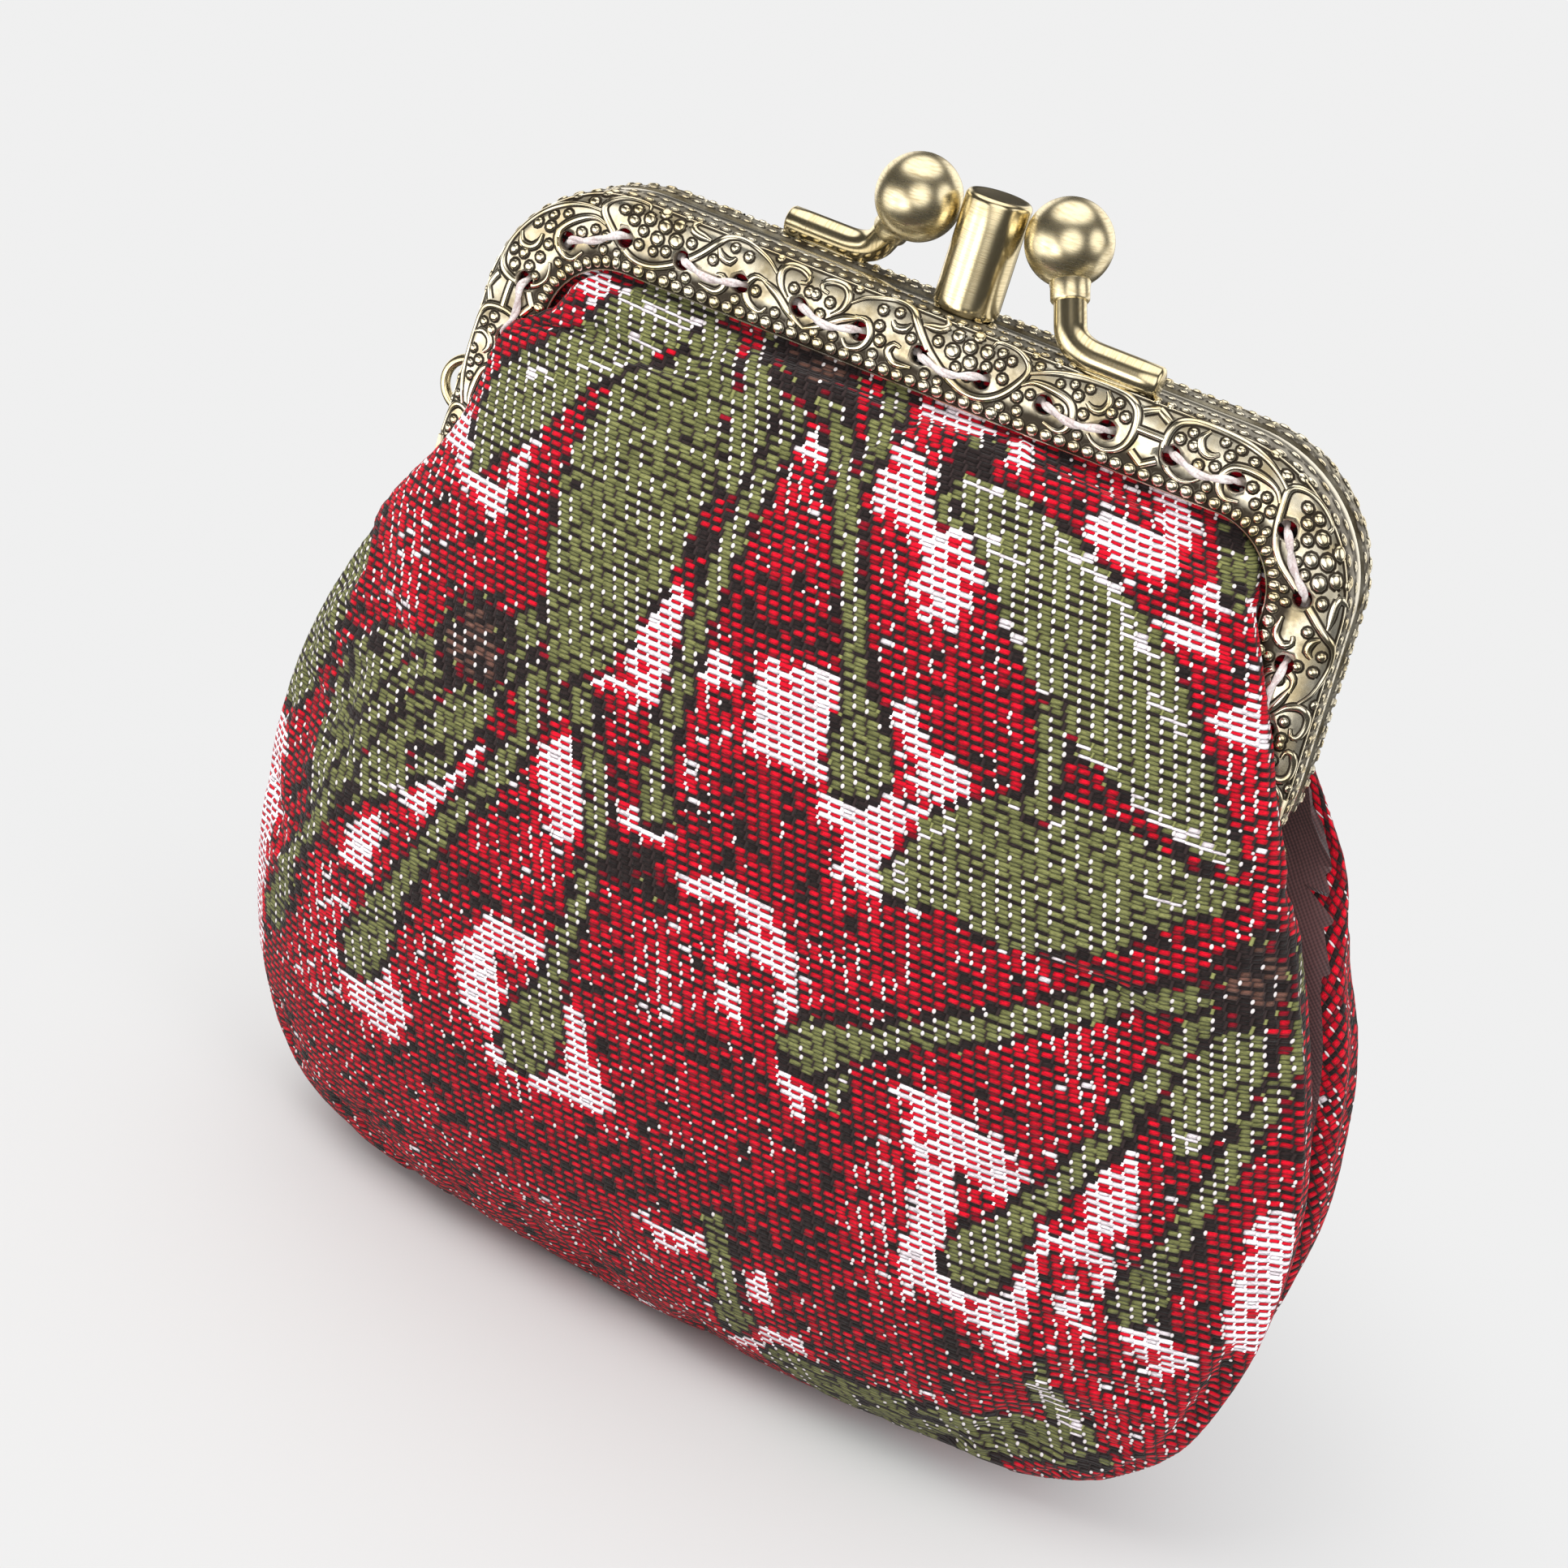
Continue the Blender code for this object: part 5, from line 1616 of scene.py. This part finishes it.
@dataclass
class PocketCloth:
    """The figured cloth of one pocket: one sheet, sewn behind the frame's face and shut at the seams."""

    hand: Hand
    left: Numbers                   # the outline's left side, as depth and half width in turn
    right: Numbers
    figure: Figure
    bias: float = 0.0
    middle: Numbers = (
        1.6, 4.05, 7.2, 4.05, 8.2, 4.75, 10, 6.4, 12.5, 8, 16, 9.6, 20, 11, 26, 12.7, 34, 14.3, 42, 15.4,
        50, 16.5, 58, 17.4, 66, 18, 74, 18.1, 82, 17.7, 89, 16.6, 95, 14.8, 99.4, 12.2, 102.3, 9.2,
        103.7, 6.2, 103.95, 3.4, 103.97, 1.3,
    )
    rows: int = 220
    columns: int = 150
    puff_most: float = 1.0          # how far the simulation may move the cloth
    places: Array = field(init=False)
    reach: Array = field(init=False)
    length: float = field(init=False)
    blown: Callable[[Array], Array] = field(init=False)

    def __post_init__(self) -> None:
        """Work out the surface: evenly spaced rows down, evenly spaced points along each."""
        line = spline(spots(self.middle), 16)
        line = resample(line, self.rows)
        self.length = float(arc_lengths(line)[-1])
        self.places = np.empty((self.rows, 2 * self.columns - 1, 3))
        self.reach = np.empty((self.rows, 2))
        for row, (depth, front) in enumerate(line):
            halves = []
            for side, table in enumerate((self.left, self.right)):
                half = self.section(depth, front, table)
                self.reach[row, side] = arc_lengths(half)[-1]
                halves.append(resample(half, self.columns))
            left, right = halves
            xy = np.vstack([left[:0:-1] * (-1.0, 1.0), right])
            self.places[row, :, 0] = xy[:, 0]
            self.places[row, :, 1] = xy[:, 1] * self.hand.value
            self.places[row, :, 2] = ARCH.crown - depth
        self.blown = self.puff()

    def inner_edge(self, depth: float, inset: float) -> float:
        """Return the half width of the arch at a depth, measured at an inset."""
        radius = ARCH.corner - inset
        if depth < ARCH.corner:
            rise = min(ARCH.corner - depth, radius)
            return ARCH.half_top + math.sqrt(radius * radius - rise * rise)
        return ARCH.half_top + radius + (depth - ARCH.corner) * math.tan(ARCH.flare)

    def section(self, depth: float, front: float, table: Numbers) -> Array:
        """Return half a level section, from its middle out and round to its hidden end, as (x, y) points."""
        wide = float(curve_through(spots(table), depth))
        bag = float(smooth(depth, 31.0, 46.0))
        face_end = self.inner_edge(depth, 6.95)
        tuck = min(self.inner_edge(depth, 1.6), 40.6)
        leg = 1.0 - float(smooth(depth, 26.0, 38.0))
        wide_plate = max(wide - 1.8 * leg, face_end - 0.9) if depth > 11.0 else face_end - 0.9
        over = float(smooth(depth, 8.0, 15.0))
        fold_y = lerp(min(front, 4.8), 7.2, over)
        bottom = float(smooth(depth, 92.0, 103.5))
        seam_y = lerp(3.0, min(3.0, front * 0.5), bottom)
        edge_y = lerp(fold_y, seam_y, bag)
        power = lerp(2.4, 2.67, bag)
        blunt = lerp(0.6, 0.42, bag)
        reach = lerp(wide_plate, wide, bag)
        shares = np.array([0.0, 0.2, 0.4, 0.58, 0.73, 0.84, 0.92, 0.965, 0.99])
        crown = edge_y + (front - edge_y) * (1.0 - shares ** power) ** blunt
        points = list(zip(reach * shares, crown))
        plate_end = [
            (wide_plate, fold_y - 0.9 * over),
            (lerp(face_end, wide_plate, 0.62), lerp(4.4, 5.95, over)),
            (face_end - 0.55, lerp(4.25, 5.6, over)),
            (face_end - 0.45, 4.05),
            (tuck, 4.02),
        ]
        y = min(1.0, front)
        bag_end = [
            (wide, lerp(2.6, y + (seam_y - y) * 0.7, bottom)),
            (wide - 0.35, lerp(1.8, y + (seam_y - y) * 0.4, bottom)),
            (wide - 1.1, lerp(1.25, y, bottom)),
            (wide - 2.2, min(1.0, y)),
            (wide - 3.4, min(0.9, y)),
        ]
        if depth < 7.4:
            points = [(tuck * share, front) for share in shares]
            plate_end = [(tuck * share, front) for share in (0.992, 0.994, 0.996, 0.998, 1.0)]
        ends = [tuple(lerp(np.array(a), np.array(b), bag)) for a, b in zip(plate_end, bag_end)]
        return spline(points + ends, 7)

    def lay(self, flat: Array) -> Array:
        """Lay points of the flat cut, (across, down), onto the surface."""
        down = np.clip(flat[:, 1] / self.length, 0.0, 1.0) * (self.rows - 1)
        row = np.minimum(down.astype(int), self.rows - 2)
        part = down - row
        side = (flat[:, 0] > 0).astype(int)
        reach = lerp(self.reach[row, side], self.reach[row + 1, side], part)
        share = np.clip(flat[:, 0] / reach, -1.0, 1.0)
        column = (share + 1.0) * (self.columns - 1)
        first = np.minimum(column.astype(int), 2 * self.columns - 3)
        across = (column - first)[:, None]
        part = part[:, None]
        upper = lerp(self.places[row, first], self.places[row, first + 1], across)
        lower = lerp(self.places[row + 1, first], self.places[row + 1, first + 1], across)
        return lerp(upper, lower, part)

    def weave_to_cut(self, weave: Array) -> Array:
        """Turn weave coordinates into coordinates of the flat cut."""
        middle = np.array([0.0, self.length / 2])
        cos, sin = math.cos(self.bias), math.sin(self.bias)
        turned = (weave - middle) @ np.array([[cos, sin], [-sin, cos]])
        return turned + middle

    def inside(self, flat: Array) -> Array:
        """Say which points of the flat plane lie on the cut."""
        down = flat[:, 1] / self.length
        row = np.clip((down * (self.rows - 1)).astype(int), 0, self.rows - 1)
        left, right = self.reach[row, 0], self.reach[row, 1]
        return (down >= 0.0) & (down <= 1.0) & (flat[:, 0] <= right) & (flat[:, 0] >= -left)

    def puff(self) -> Callable[[Array], Array]:
        """Blow the sheet up with a coarse cloth simulation.

        Returns:
            A function from flat places to how far the cloth moves there.
        """
        count = 64

        def cut(old: Array) -> Array:
            """Return the flat places of the coarse grid."""
            down = old[:, 1] / count * self.length
            row = np.clip((down / self.length * (self.rows - 1)).astype(int), 0, self.rows - 1)
            share = old[:, 0] / count * 2.0 - 1.0
            reach = np.where(share > 0, self.reach[row, 1], self.reach[row, 0])
            return np.column_stack([share * reach, down])

        shape = SHOP.grid(count, count)
        indices = np.array([vertex.co for vertex in shape.verts])
        flat = cut(indices)
        rest = self.lay(flat)
        SHOP.place_vertices(shape, lambda old: rest)
        if self.hand is Hand.FRONT:
            bmesh.ops.reverse_faces(shape, faces=shape.faces)
        sheet = SHOP.finish("puff", shape)
        group = sheet.vertex_groups.new(name="held")
        depth = ARCH.crown - rest[:, 2]
        border = (indices[:, 0] < 3.5) | (indices[:, 0] > count - 3.5) | (indices[:, 1] > count - 2.5)
        held = np.where(border | (depth < 8.0), 1.0, 0.0)
        group.add([int(index) for index in np.flatnonzero(held)], 1.0, "REPLACE")
        cloth = sheet.modifiers.new("cloth", "CLOTH")
        facts = {
            "quality": 6, "mass": 0.05, "tension_stiffness": 20.0, "compression_stiffness": 20.0,
            "shear_stiffness": 8.0, "bending_stiffness": 0.02, "shrink_min": -0.02,
            "vertex_group_mass": "held", "use_pressure": True, "uniform_pressure_force": 1.2,
        }
        for name, value in facts.items():
            setattr(cloth.settings, name, value)
        cloth.settings.effector_weights.gravity = 0.0
        cloth.collision_settings.use_self_collision = False
        scene = bpy.context.scene
        for step in range(1, 21):
            scene.frame_set(step)
        graph = bpy.context.evaluated_depsgraph_get()
        blown = sheet.evaluated_get(graph).to_mesh()
        moved = np.empty(len(blown.vertices) * 3)
        blown.vertices.foreach_get("co", moved)
        sheet.evaluated_get(graph).to_mesh_clear()
        scene.frame_set(1)
        bpy.data.objects.remove(sheet, do_unlink=True)
        shift = moved.reshape(-1, 3) / MM - rest
        far = np.linalg.norm(shift, axis=1)[:, None]
        shift *= np.minimum(1.0, self.puff_most / np.maximum(far, 1e-6))
        LOG.info("%s cloth puffed by up to %.2f mm", self.hand.word, float(far.max()))
        field_of = np.zeros((count + 1, count + 1, 3))
        column, row = np.rint(indices[:, 0]).astype(int), np.rint(indices[:, 1]).astype(int)
        field_of[row, column] = shift

        def read(places: Array) -> Array:
            """Read the movement between the coarse points."""
            down = np.clip(places[:, 1] / self.length, 0.0, 1.0)
            line = np.clip((down * (self.rows - 1)).astype(int), 0, self.rows - 1)
            reach = np.where(places[:, 0] > 0, self.reach[line, 1], self.reach[line, 0])
            share = (np.clip(places[:, 0] / reach, -1.0, 1.0) + 1.0) / 2.0 * count
            down = down * count
            low, near = np.minimum(down.astype(int), count - 1), np.minimum(share.astype(int), count - 1)
            up, across = smooth(down - low, 0.0, 1.0)[:, None], smooth(share - near, 0.0, 1.0)[:, None]
            upper = lerp(field_of[low, near], field_of[low, near + 1], across)
            lower = lerp(field_of[low + 1, near], field_of[low + 1, near + 1], across)
            return lerp(upper, lower, up)

        return read

    def build(self, material: Material) -> Piece:
        """Weave the sheet cell by cell, lay it on the surface, dress it and hide the parts that it stands
        for.
        """
        widest = float(self.reach.max()) + 3.0
        spread = math.hypot(widest, self.length / 2) if self.bias else 0.0
        half_u = max(widest, spread)
        low_v = self.length / 2 - spread if self.bias else 0.0
        high_v = self.length / 2 + spread if self.bias else self.length
        columns = int(2 * half_u / WEAVE.column)
        rows = 2 * int((high_v - low_v) / WEAVE.pair_pitch) + 2
        first = np.array([-(columns // 2), 2 * math.floor(low_v / WEAVE.pair_pitch)])

        def weave_at(cells: Array) -> Array:
            """Return the weave coordinates of places counted in cells."""
            across, row = first[0] + cells[:, 0], first[1] + cells[:, 1]
            return np.column_stack([across * WEAVE.column, WEAVE.down(row)])

        shape = SHOP.grid(columns, rows)
        centres = np.array([face.calc_center_median() for face in shape.faces])[:, :2]
        kept = self.inside(self.weave_to_cut(weave_at(centres)))
        outside = [face for face, keep in zip(shape.faces, kept) if not keep]
        bmesh.ops.delete(shape, geom=outside, context="FACES")
        if self.hand is Hand.FRONT:
            bmesh.ops.reverse_faces(shape, faces=shape.faces)
        piece = SHOP.finish(self.hand.word + "_cloth", shape, 180.0)
        mesh = piece.data
        cells = np.empty(len(mesh.vertices) * 3)
        mesh.vertices.foreach_get("co", cells)
        weave = weave_at(cells.reshape(-1, 3)[:, :2] / MM)
        corners = np.empty(len(mesh.loops), int)
        mesh.loops.foreach_get("vertex_index", corners)
        mesh.uv_layers.new(name="weave").data.foreach_set("uv", weave[corners].ravel())

        centres = np.empty(len(mesh.polygons) * 3)
        mesh.polygons.foreach_get("center", centres)
        centres = centres.reshape(-1, 3)[:, :2] / MM
        row = np.floor(first[1] + centres[:, 1] + 0.01)
        across = first[0] + centres[:, 0]
        runs = [WEAVE.runs((across + way) * WEAVE.column, row) for way in (-0.49, 0.49, 0.0)]
        threads = self.figure.threads(np.floor(np.array(runs[:2])), np.rint(runs[2]), row)
        for name, values in threads.items():
            layer = mesh.attributes.new(name, "FLOAT_COLOR", "FACE")
            layer.data.foreach_set("color", values.astype(np.float32).ravel())

        cut = self.weave_to_cut(weave)
        places = self.lay(cut) + self.blown(cut)
        mesh.vertices.foreach_set("co", (places * MM).ravel())
        mesh.update()
        SHOP.dress(piece, material)
        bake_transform(piece)
        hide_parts(self.hand.word + "_panel", self.hand.word + "_pocket")
        width = float(self.reach.sum(axis=1).max()) * MM
        LOG.info("%s cloth: %.1f x %.1f mm flat", self.hand.word, width / MM, self.length)
        return piece


@dataclass
class Lining:
    """The thin bag of lining inside one pocket."""

    cloth: PocketCloth
    inset: float = 0.75
    wall_y: float = 0.75

    def build(self, material: Material) -> Piece:
        """Lay the lining inside the cloth, with a flat wall next to the divider."""
        hand = self.cloth.hand.value
        across, down = 60, 56
        source = self.cloth

        def front(old: Array) -> Array:
            """Return the front wall, a little inside the cloth."""
            drop = old[:, 1] / down
            row = np.rint(drop * (source.rows - 1)).astype(int)
            column = np.rint(old[:, 0] / across * (2 * source.columns - 2)).astype(int)
            side = (column > source.columns - 1).astype(int)
            across_cut = (column / (source.columns - 1) - 1.0) * source.reach[row, side]
            cut = np.column_stack([across_cut, drop * source.length])
            laid = source.places[row, column] + source.blown(cut)
            middle = np.array([2.0, 0.0, 0.0])
            depth = ARCH.crown - laid[:, 2]
            shrink = 1.0 - 0.022 * smooth(depth, 20.0, 40.0)
            laid[:, 0] = middle[0] + (laid[:, 0] - middle[0]) * shrink
            inset = self.inset * (1.0 + 0.6 * (1.0 - smooth(depth, 16.0, 26.0)))
            laid[:, 1] -= hand * np.minimum(inset, np.abs(laid[:, 1]) * 0.4) * smooth(depth, 4.0, 6.5)
            laid[:, 2] += 0.6 * smooth(depth, 95.0, 103.0)
            return laid

        def back(old: Array) -> Array:
            """Return the flat wall, drawn between the ends of the rows."""
            laid = front(np.column_stack([np.round(old[:, 0] / across) * across, old[:, 1], old[:, 2]]))
            ends_left = front(np.column_stack([old[:, 0] * 0, old[:, 1], old[:, 2]]))
            ends_right = front(np.column_stack([old[:, 0] * 0 + across, old[:, 1], old[:, 2]]))
            share = (old[:, 0] / across)[:, None]
            laid = lerp(ends_left, ends_right, share)
            depth = ARCH.crown - laid[:, 2]
            inner = np.sin(np.pi * share[:, 0]) ** 0.3
            edge_y = np.abs(laid[:, 1])
            laid[:, 1] = hand * lerp(edge_y, self.wall_y, inner)
            laid[:, 2] = np.where(depth < 6.0, ARCH.crown - 6.0, laid[:, 2])
            return laid

        walls = []
        for wall in (front, back):
            shape = SHOP.grid(across, down)
            SHOP.place_vertices(shape, wall)
            if (wall is front) == (hand < 0):
                bmesh.ops.reverse_faces(shape, faces=shape.faces)
            walls.append(shape)
        bag = SHOP.join(walls)
        bmesh.ops.remove_doubles(bag, verts=bag.verts, dist=0.02)
        piece = SHOP.finish(source.hand.word + "_lining_bag", bag, 60.0)
        SHOP.dress(piece, material)
        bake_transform(piece)
        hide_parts(source.hand.word + "_lining")
        return piece


@dataclass
class Divider:
    """The cloth wall between the pockets, gripped by the centre frame."""

    half: float = 0.35

    def build(self, material: Material) -> Piece:
        """Build, dress and hand over the divider."""
        rim: list[Point] = []
        inset = 0.9
        for distance in np.linspace(0.0, ARCH.bend_end + 10.0, 26):
            x, z = ARCH.place(np.array([distance]), np.array([inset]))
            rim.append((float(x[0]), float(z[0])))
        low = spline(((39.0, 76.0), (38.2, 68.0), (43.5, 58.0), (50.0, 44.0), (51.5, 30.0), (47.5, 14.0),
                      (38.0, 4.5), (24.0, 1.4)), 5)
        rim += [tuple(point) for point in low]
        outline = rim + [(-x, z) for x, z in reversed(rim) if x > 0.01]
        shape = SHOP.slab([(x, -self.half, z) for x, z in outline], (0.0, 2 * self.half, 0.0))
        bmesh.ops.triangulate(shape, faces=shape.faces)
        piece = SHOP.hand_over(SHOP.finish("divider_wall", shape), material, "bag", "lining", "divider")
        return piece


# Studio -------------------------------------------------------------------
@dataclass(frozen=True)
class Lobe:
    """One soft patch of light that the brass reflects, by its direction, its spread and its strength."""

    toward: Colour
    near: float                 # cosine of the angle inside which it is full
    far: float                  # cosine of the angle outside which it is gone
    strength: float


@dataclass
class Studio:
    """Camera, pale floor, soft lights and the tent of soft patches that the brass reflects."""

    tone: float = 0.87
    place: Colour = (0.0667, -0.2151, 0.1537)
    ahead: Colour = (-0.2780, 0.8737, -0.3993)
    above: Colour = (-0.4005, 0.2724, 0.8749)
    lens: float = 59.2
    tent_radius: float = 2.0
    tent_dark: Colour = (0.066, 0.062, 0.055)
    lobes: tuple[Lobe, ...] = (
        Lobe((-0.55, -0.80, -0.20), 0.970, 0.880, 1.5),
        Lobe((-0.85, -0.45, -0.25), 0.975, 0.900, 1.3),
        Lobe((-0.20, -0.95, -0.28), 0.992, 0.960, 2.3),
        Lobe((0.30, -0.90, 0.32), 0.965, 0.840, 1.5),
        Lobe((-0.21, 0.05, 0.97), 0.900, 0.760, 1.5),
        Lobe((0.90, 0.05, 0.42), 0.970, 0.900, 1.3),
        Lobe((0.25, 0.90, 0.30), 0.960, 0.850, 1.2),
        Lobe((-0.70, 0.65, 0.10), 0.970, 0.880, 1.2),
        Lobe((0.70, 0.60, -0.20), 0.975, 0.900, 1.0),
    )

    def camera(self) -> None:
        """Set the camera, which is held a little rolled."""
        data = bpy.data.cameras.new("camera")
        data.lens = self.lens
        data.sensor_width = 36.0
        data.clip_start = 0.01
        camera = put("camera", data)
        back = -Vector(self.ahead).normalized()
        up = Vector(self.above)
        right = up.cross(back).normalized()
        turn = Matrix((right, back.cross(right), back)).transposed()
        camera.matrix_world = Matrix.Translation(self.place) @ turn.to_4x4()
        bpy.context.scene.camera = camera

    def light(self, name: str, place: Colour, size: Point, power: float, tint: Colour) -> None:
        """Hang one soft area light that the brass doesn't mirror."""
        data = bpy.data.lights.new(name, "AREA")
        data.shape = "RECTANGLE"
        data.size, data.size_y = size
        data.energy = power
        data.color = tint
        lamp = put(name, data)
        lamp.location = place
        lamp.rotation_mode = "QUATERNION"
        lamp.rotation_quaternion = (Vector((0.0, 0.0, 0.06)) - Vector(place)).to_track_quat("-Z", "Y")
        lamp.visible_glossy = False

    def stand(self, name: str, shape: Shape, material: Material) -> Piece:
        """Add a part of the studio, which isn't part of the purse."""
        mesh = bpy.data.meshes.new(name)
        shape.to_mesh(mesh)
        shape.free()
        mesh.materials.append(material)
        stand = put(name, mesh)
        stand.visible_glossy = False
        return stand

    def tent(self) -> None:
        """Hang the tent round everything; only reflections see it."""
        paint = Paint("tent_light")
        where = paint.node("ShaderNodeTexCoord", {}, [], out="Object")
        toward = paint.node("ShaderNodeVectorMath", {"operation": "NORMALIZE"}, [where])
        total: Any = 1.0
        for lobe in self.lobes:
            aim = tuple(Vector(lobe.toward).normalized())
            dot = {"operation": "DOT_PRODUCT"}
            facing = paint.node("ShaderNodeVectorMath", dot, [toward, aim], out="Value")
            total = facing.step(lobe.far, lobe.near) * (lobe.strength / self.tent_dark[1]) + total
        light = paint.shade(self.tent_dark, total)
        glow = paint.node("ShaderNodeEmission", {}, {"Color": light, "Strength": 1.0})
        output = paint.tree.nodes["Material Output"]
        paint.tree.links.new(glow.link, output.inputs["Surface"])
        paint.material.cycles.emission_sampling = "NONE"
        shape = bmesh.new()
        bmesh.ops.create_uvsphere(shape, u_segments=64, v_segments=32, radius=self.tent_radius)
        tent = self.stand("tent", shape, paint.material)
        tent.visible_glossy = True
        for ray in ("camera", "diffuse", "shadow", "transmission"):
            setattr(tent, "visible_" + ray, False)

    def build(self) -> None:
        """Set up the whole studio."""
        self.camera()
        self.tent()
        scene = bpy.context.scene
        scene.view_settings.view_transform = "Standard"
        world = bpy.data.worlds.new("studio")
        world.use_nodes = True
        world.node_tree.nodes["Background"].inputs["Color"].default_value = (self.tone,) * 3 + (1.0,)
        scene.world = world
        world.cycles_visibility.glossy = False
        shape = bmesh.new()
        bmesh.ops.create_circle(shape, cap_ends=True, segments=96, radius=4.0)
        self.stand("floor", shape, Paper(self.tone).make("studio_floor"))
        self.light("key", (-0.25, -0.25, 0.55), (0.35, 0.35), 2.8, (1.0, 0.99, 0.97))
        self.light("fill", (0.45, -0.30, 0.30), (0.25, 0.35), 1.1, (0.97, 0.98, 1.0))


# Assembly -----------------------------------------------------------------
def main() -> None:
    """Build every sub-assembly in order and report its pieces."""
    logging.basicConfig(level=logging.INFO, format="%(message)s")
    Studio().build()
    brass = AntiqueBrass().make("embossed_brass")
    band = BrushedBrass(
        bright=(0.84, 0.82, 0.75), dull=(0.52, 0.49, 0.42), roughness=0.12, brushing=(60.0, 12000.0, 60.0)
    ).make("centre_brass")
    upright = BrushedBrass().make("post_brass")
    lying = BrushedBrass(brushing=(7000.0, 400.0, 400.0)).make("arm_brass")
    ball = BrushedBrass(
        bright=(0.93, 0.85, 0.62), brushing=(900.0, 900.0, 6000.0), roughness=0.22
    ).make("ball_brass")
    yarn = Yarn().make("sewing_yarn")
    jacquard = Jacquard().make("jacquard")
    twill = Twill().make("lining_twill")

    made: list[Piece] = []
    made += OuterFrame(Hand.FRONT, 0).build(brass)
    made += OuterFrame(Hand.BACK, 1).build(brass)
    made.append(CentreFrame().build(band))
    clasp = Clasp()
    made.append(clasp.post(upright))
    for hand in Hand:
        made.append(clasp.arm(hand, lying))
        made.append(clasp.ball(hand, ball))
        made.append(Stitching(hand).build(yarn))
    made.append(ChainLoop().build(lying))

    front = PocketCloth(
        Hand.FRONT,
        left=(
            1.6, 30, 10, 33.4, 13, 38, 16.3, 41, 24, 42.4, 34, 45.8, 42.8, 49, 51, 51.2, 59.5, 52.3,
            68.7, 52.2, 82.2, 50.2, 92, 46.6, 98, 42, 102, 36, 103.97, 29,
        ),
        right=(
            1.6, 30, 10, 33.6, 13.8, 37, 19.5, 40.2, 27.7, 44.2, 35.3, 47, 43.5, 50.6, 55.2, 55.6, 65,
            58.6, 74, 59.6, 82, 59.4, 90, 57.6, 96.5, 53.6, 101, 48, 103.97, 39,
        ),
        figure=Figure(seed=3),
    )
    back = PocketCloth(
        Hand.BACK,
        left=(
            1.6, 30, 10, 33.6, 13.8, 37.5, 19.5, 40.2, 27, 43.6, 35, 47.2, 44, 50.4, 55, 52.4, 66, 52.8,
            80, 51, 91, 47.2, 98, 42, 102, 36, 103.97, 29,
        ),
        right=(
            1.6, 30, 10, 33.6, 13.8, 37, 19.5, 40, 26.8, 44, 34.1, 48.7, 44.6, 53.5, 51.8, 56.6, 59.8,
            58.6, 68.4, 59.9, 78, 59.6, 88, 57.4, 96, 53, 101, 47, 103.97, 38,
        ),
        figure=Figure(seed=8, shift=(6.0, 9.0), mirror=True),
        bias=math.radians(40.0),
    )
    for cloth in (front, back):
        made.append(cloth.build(jacquard))
        made.append(Lining(cloth).build(twill))
    made.append(Divider().build(twill))

    for name in ("rivet_left", "rivet_right"):
        SHOP.dress(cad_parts[name], lying)
    for piece in made:
        LOG.info("%s: %d faces", piece.name, len(piece.data.polygons))


if __name__ == "__main__":
    main()
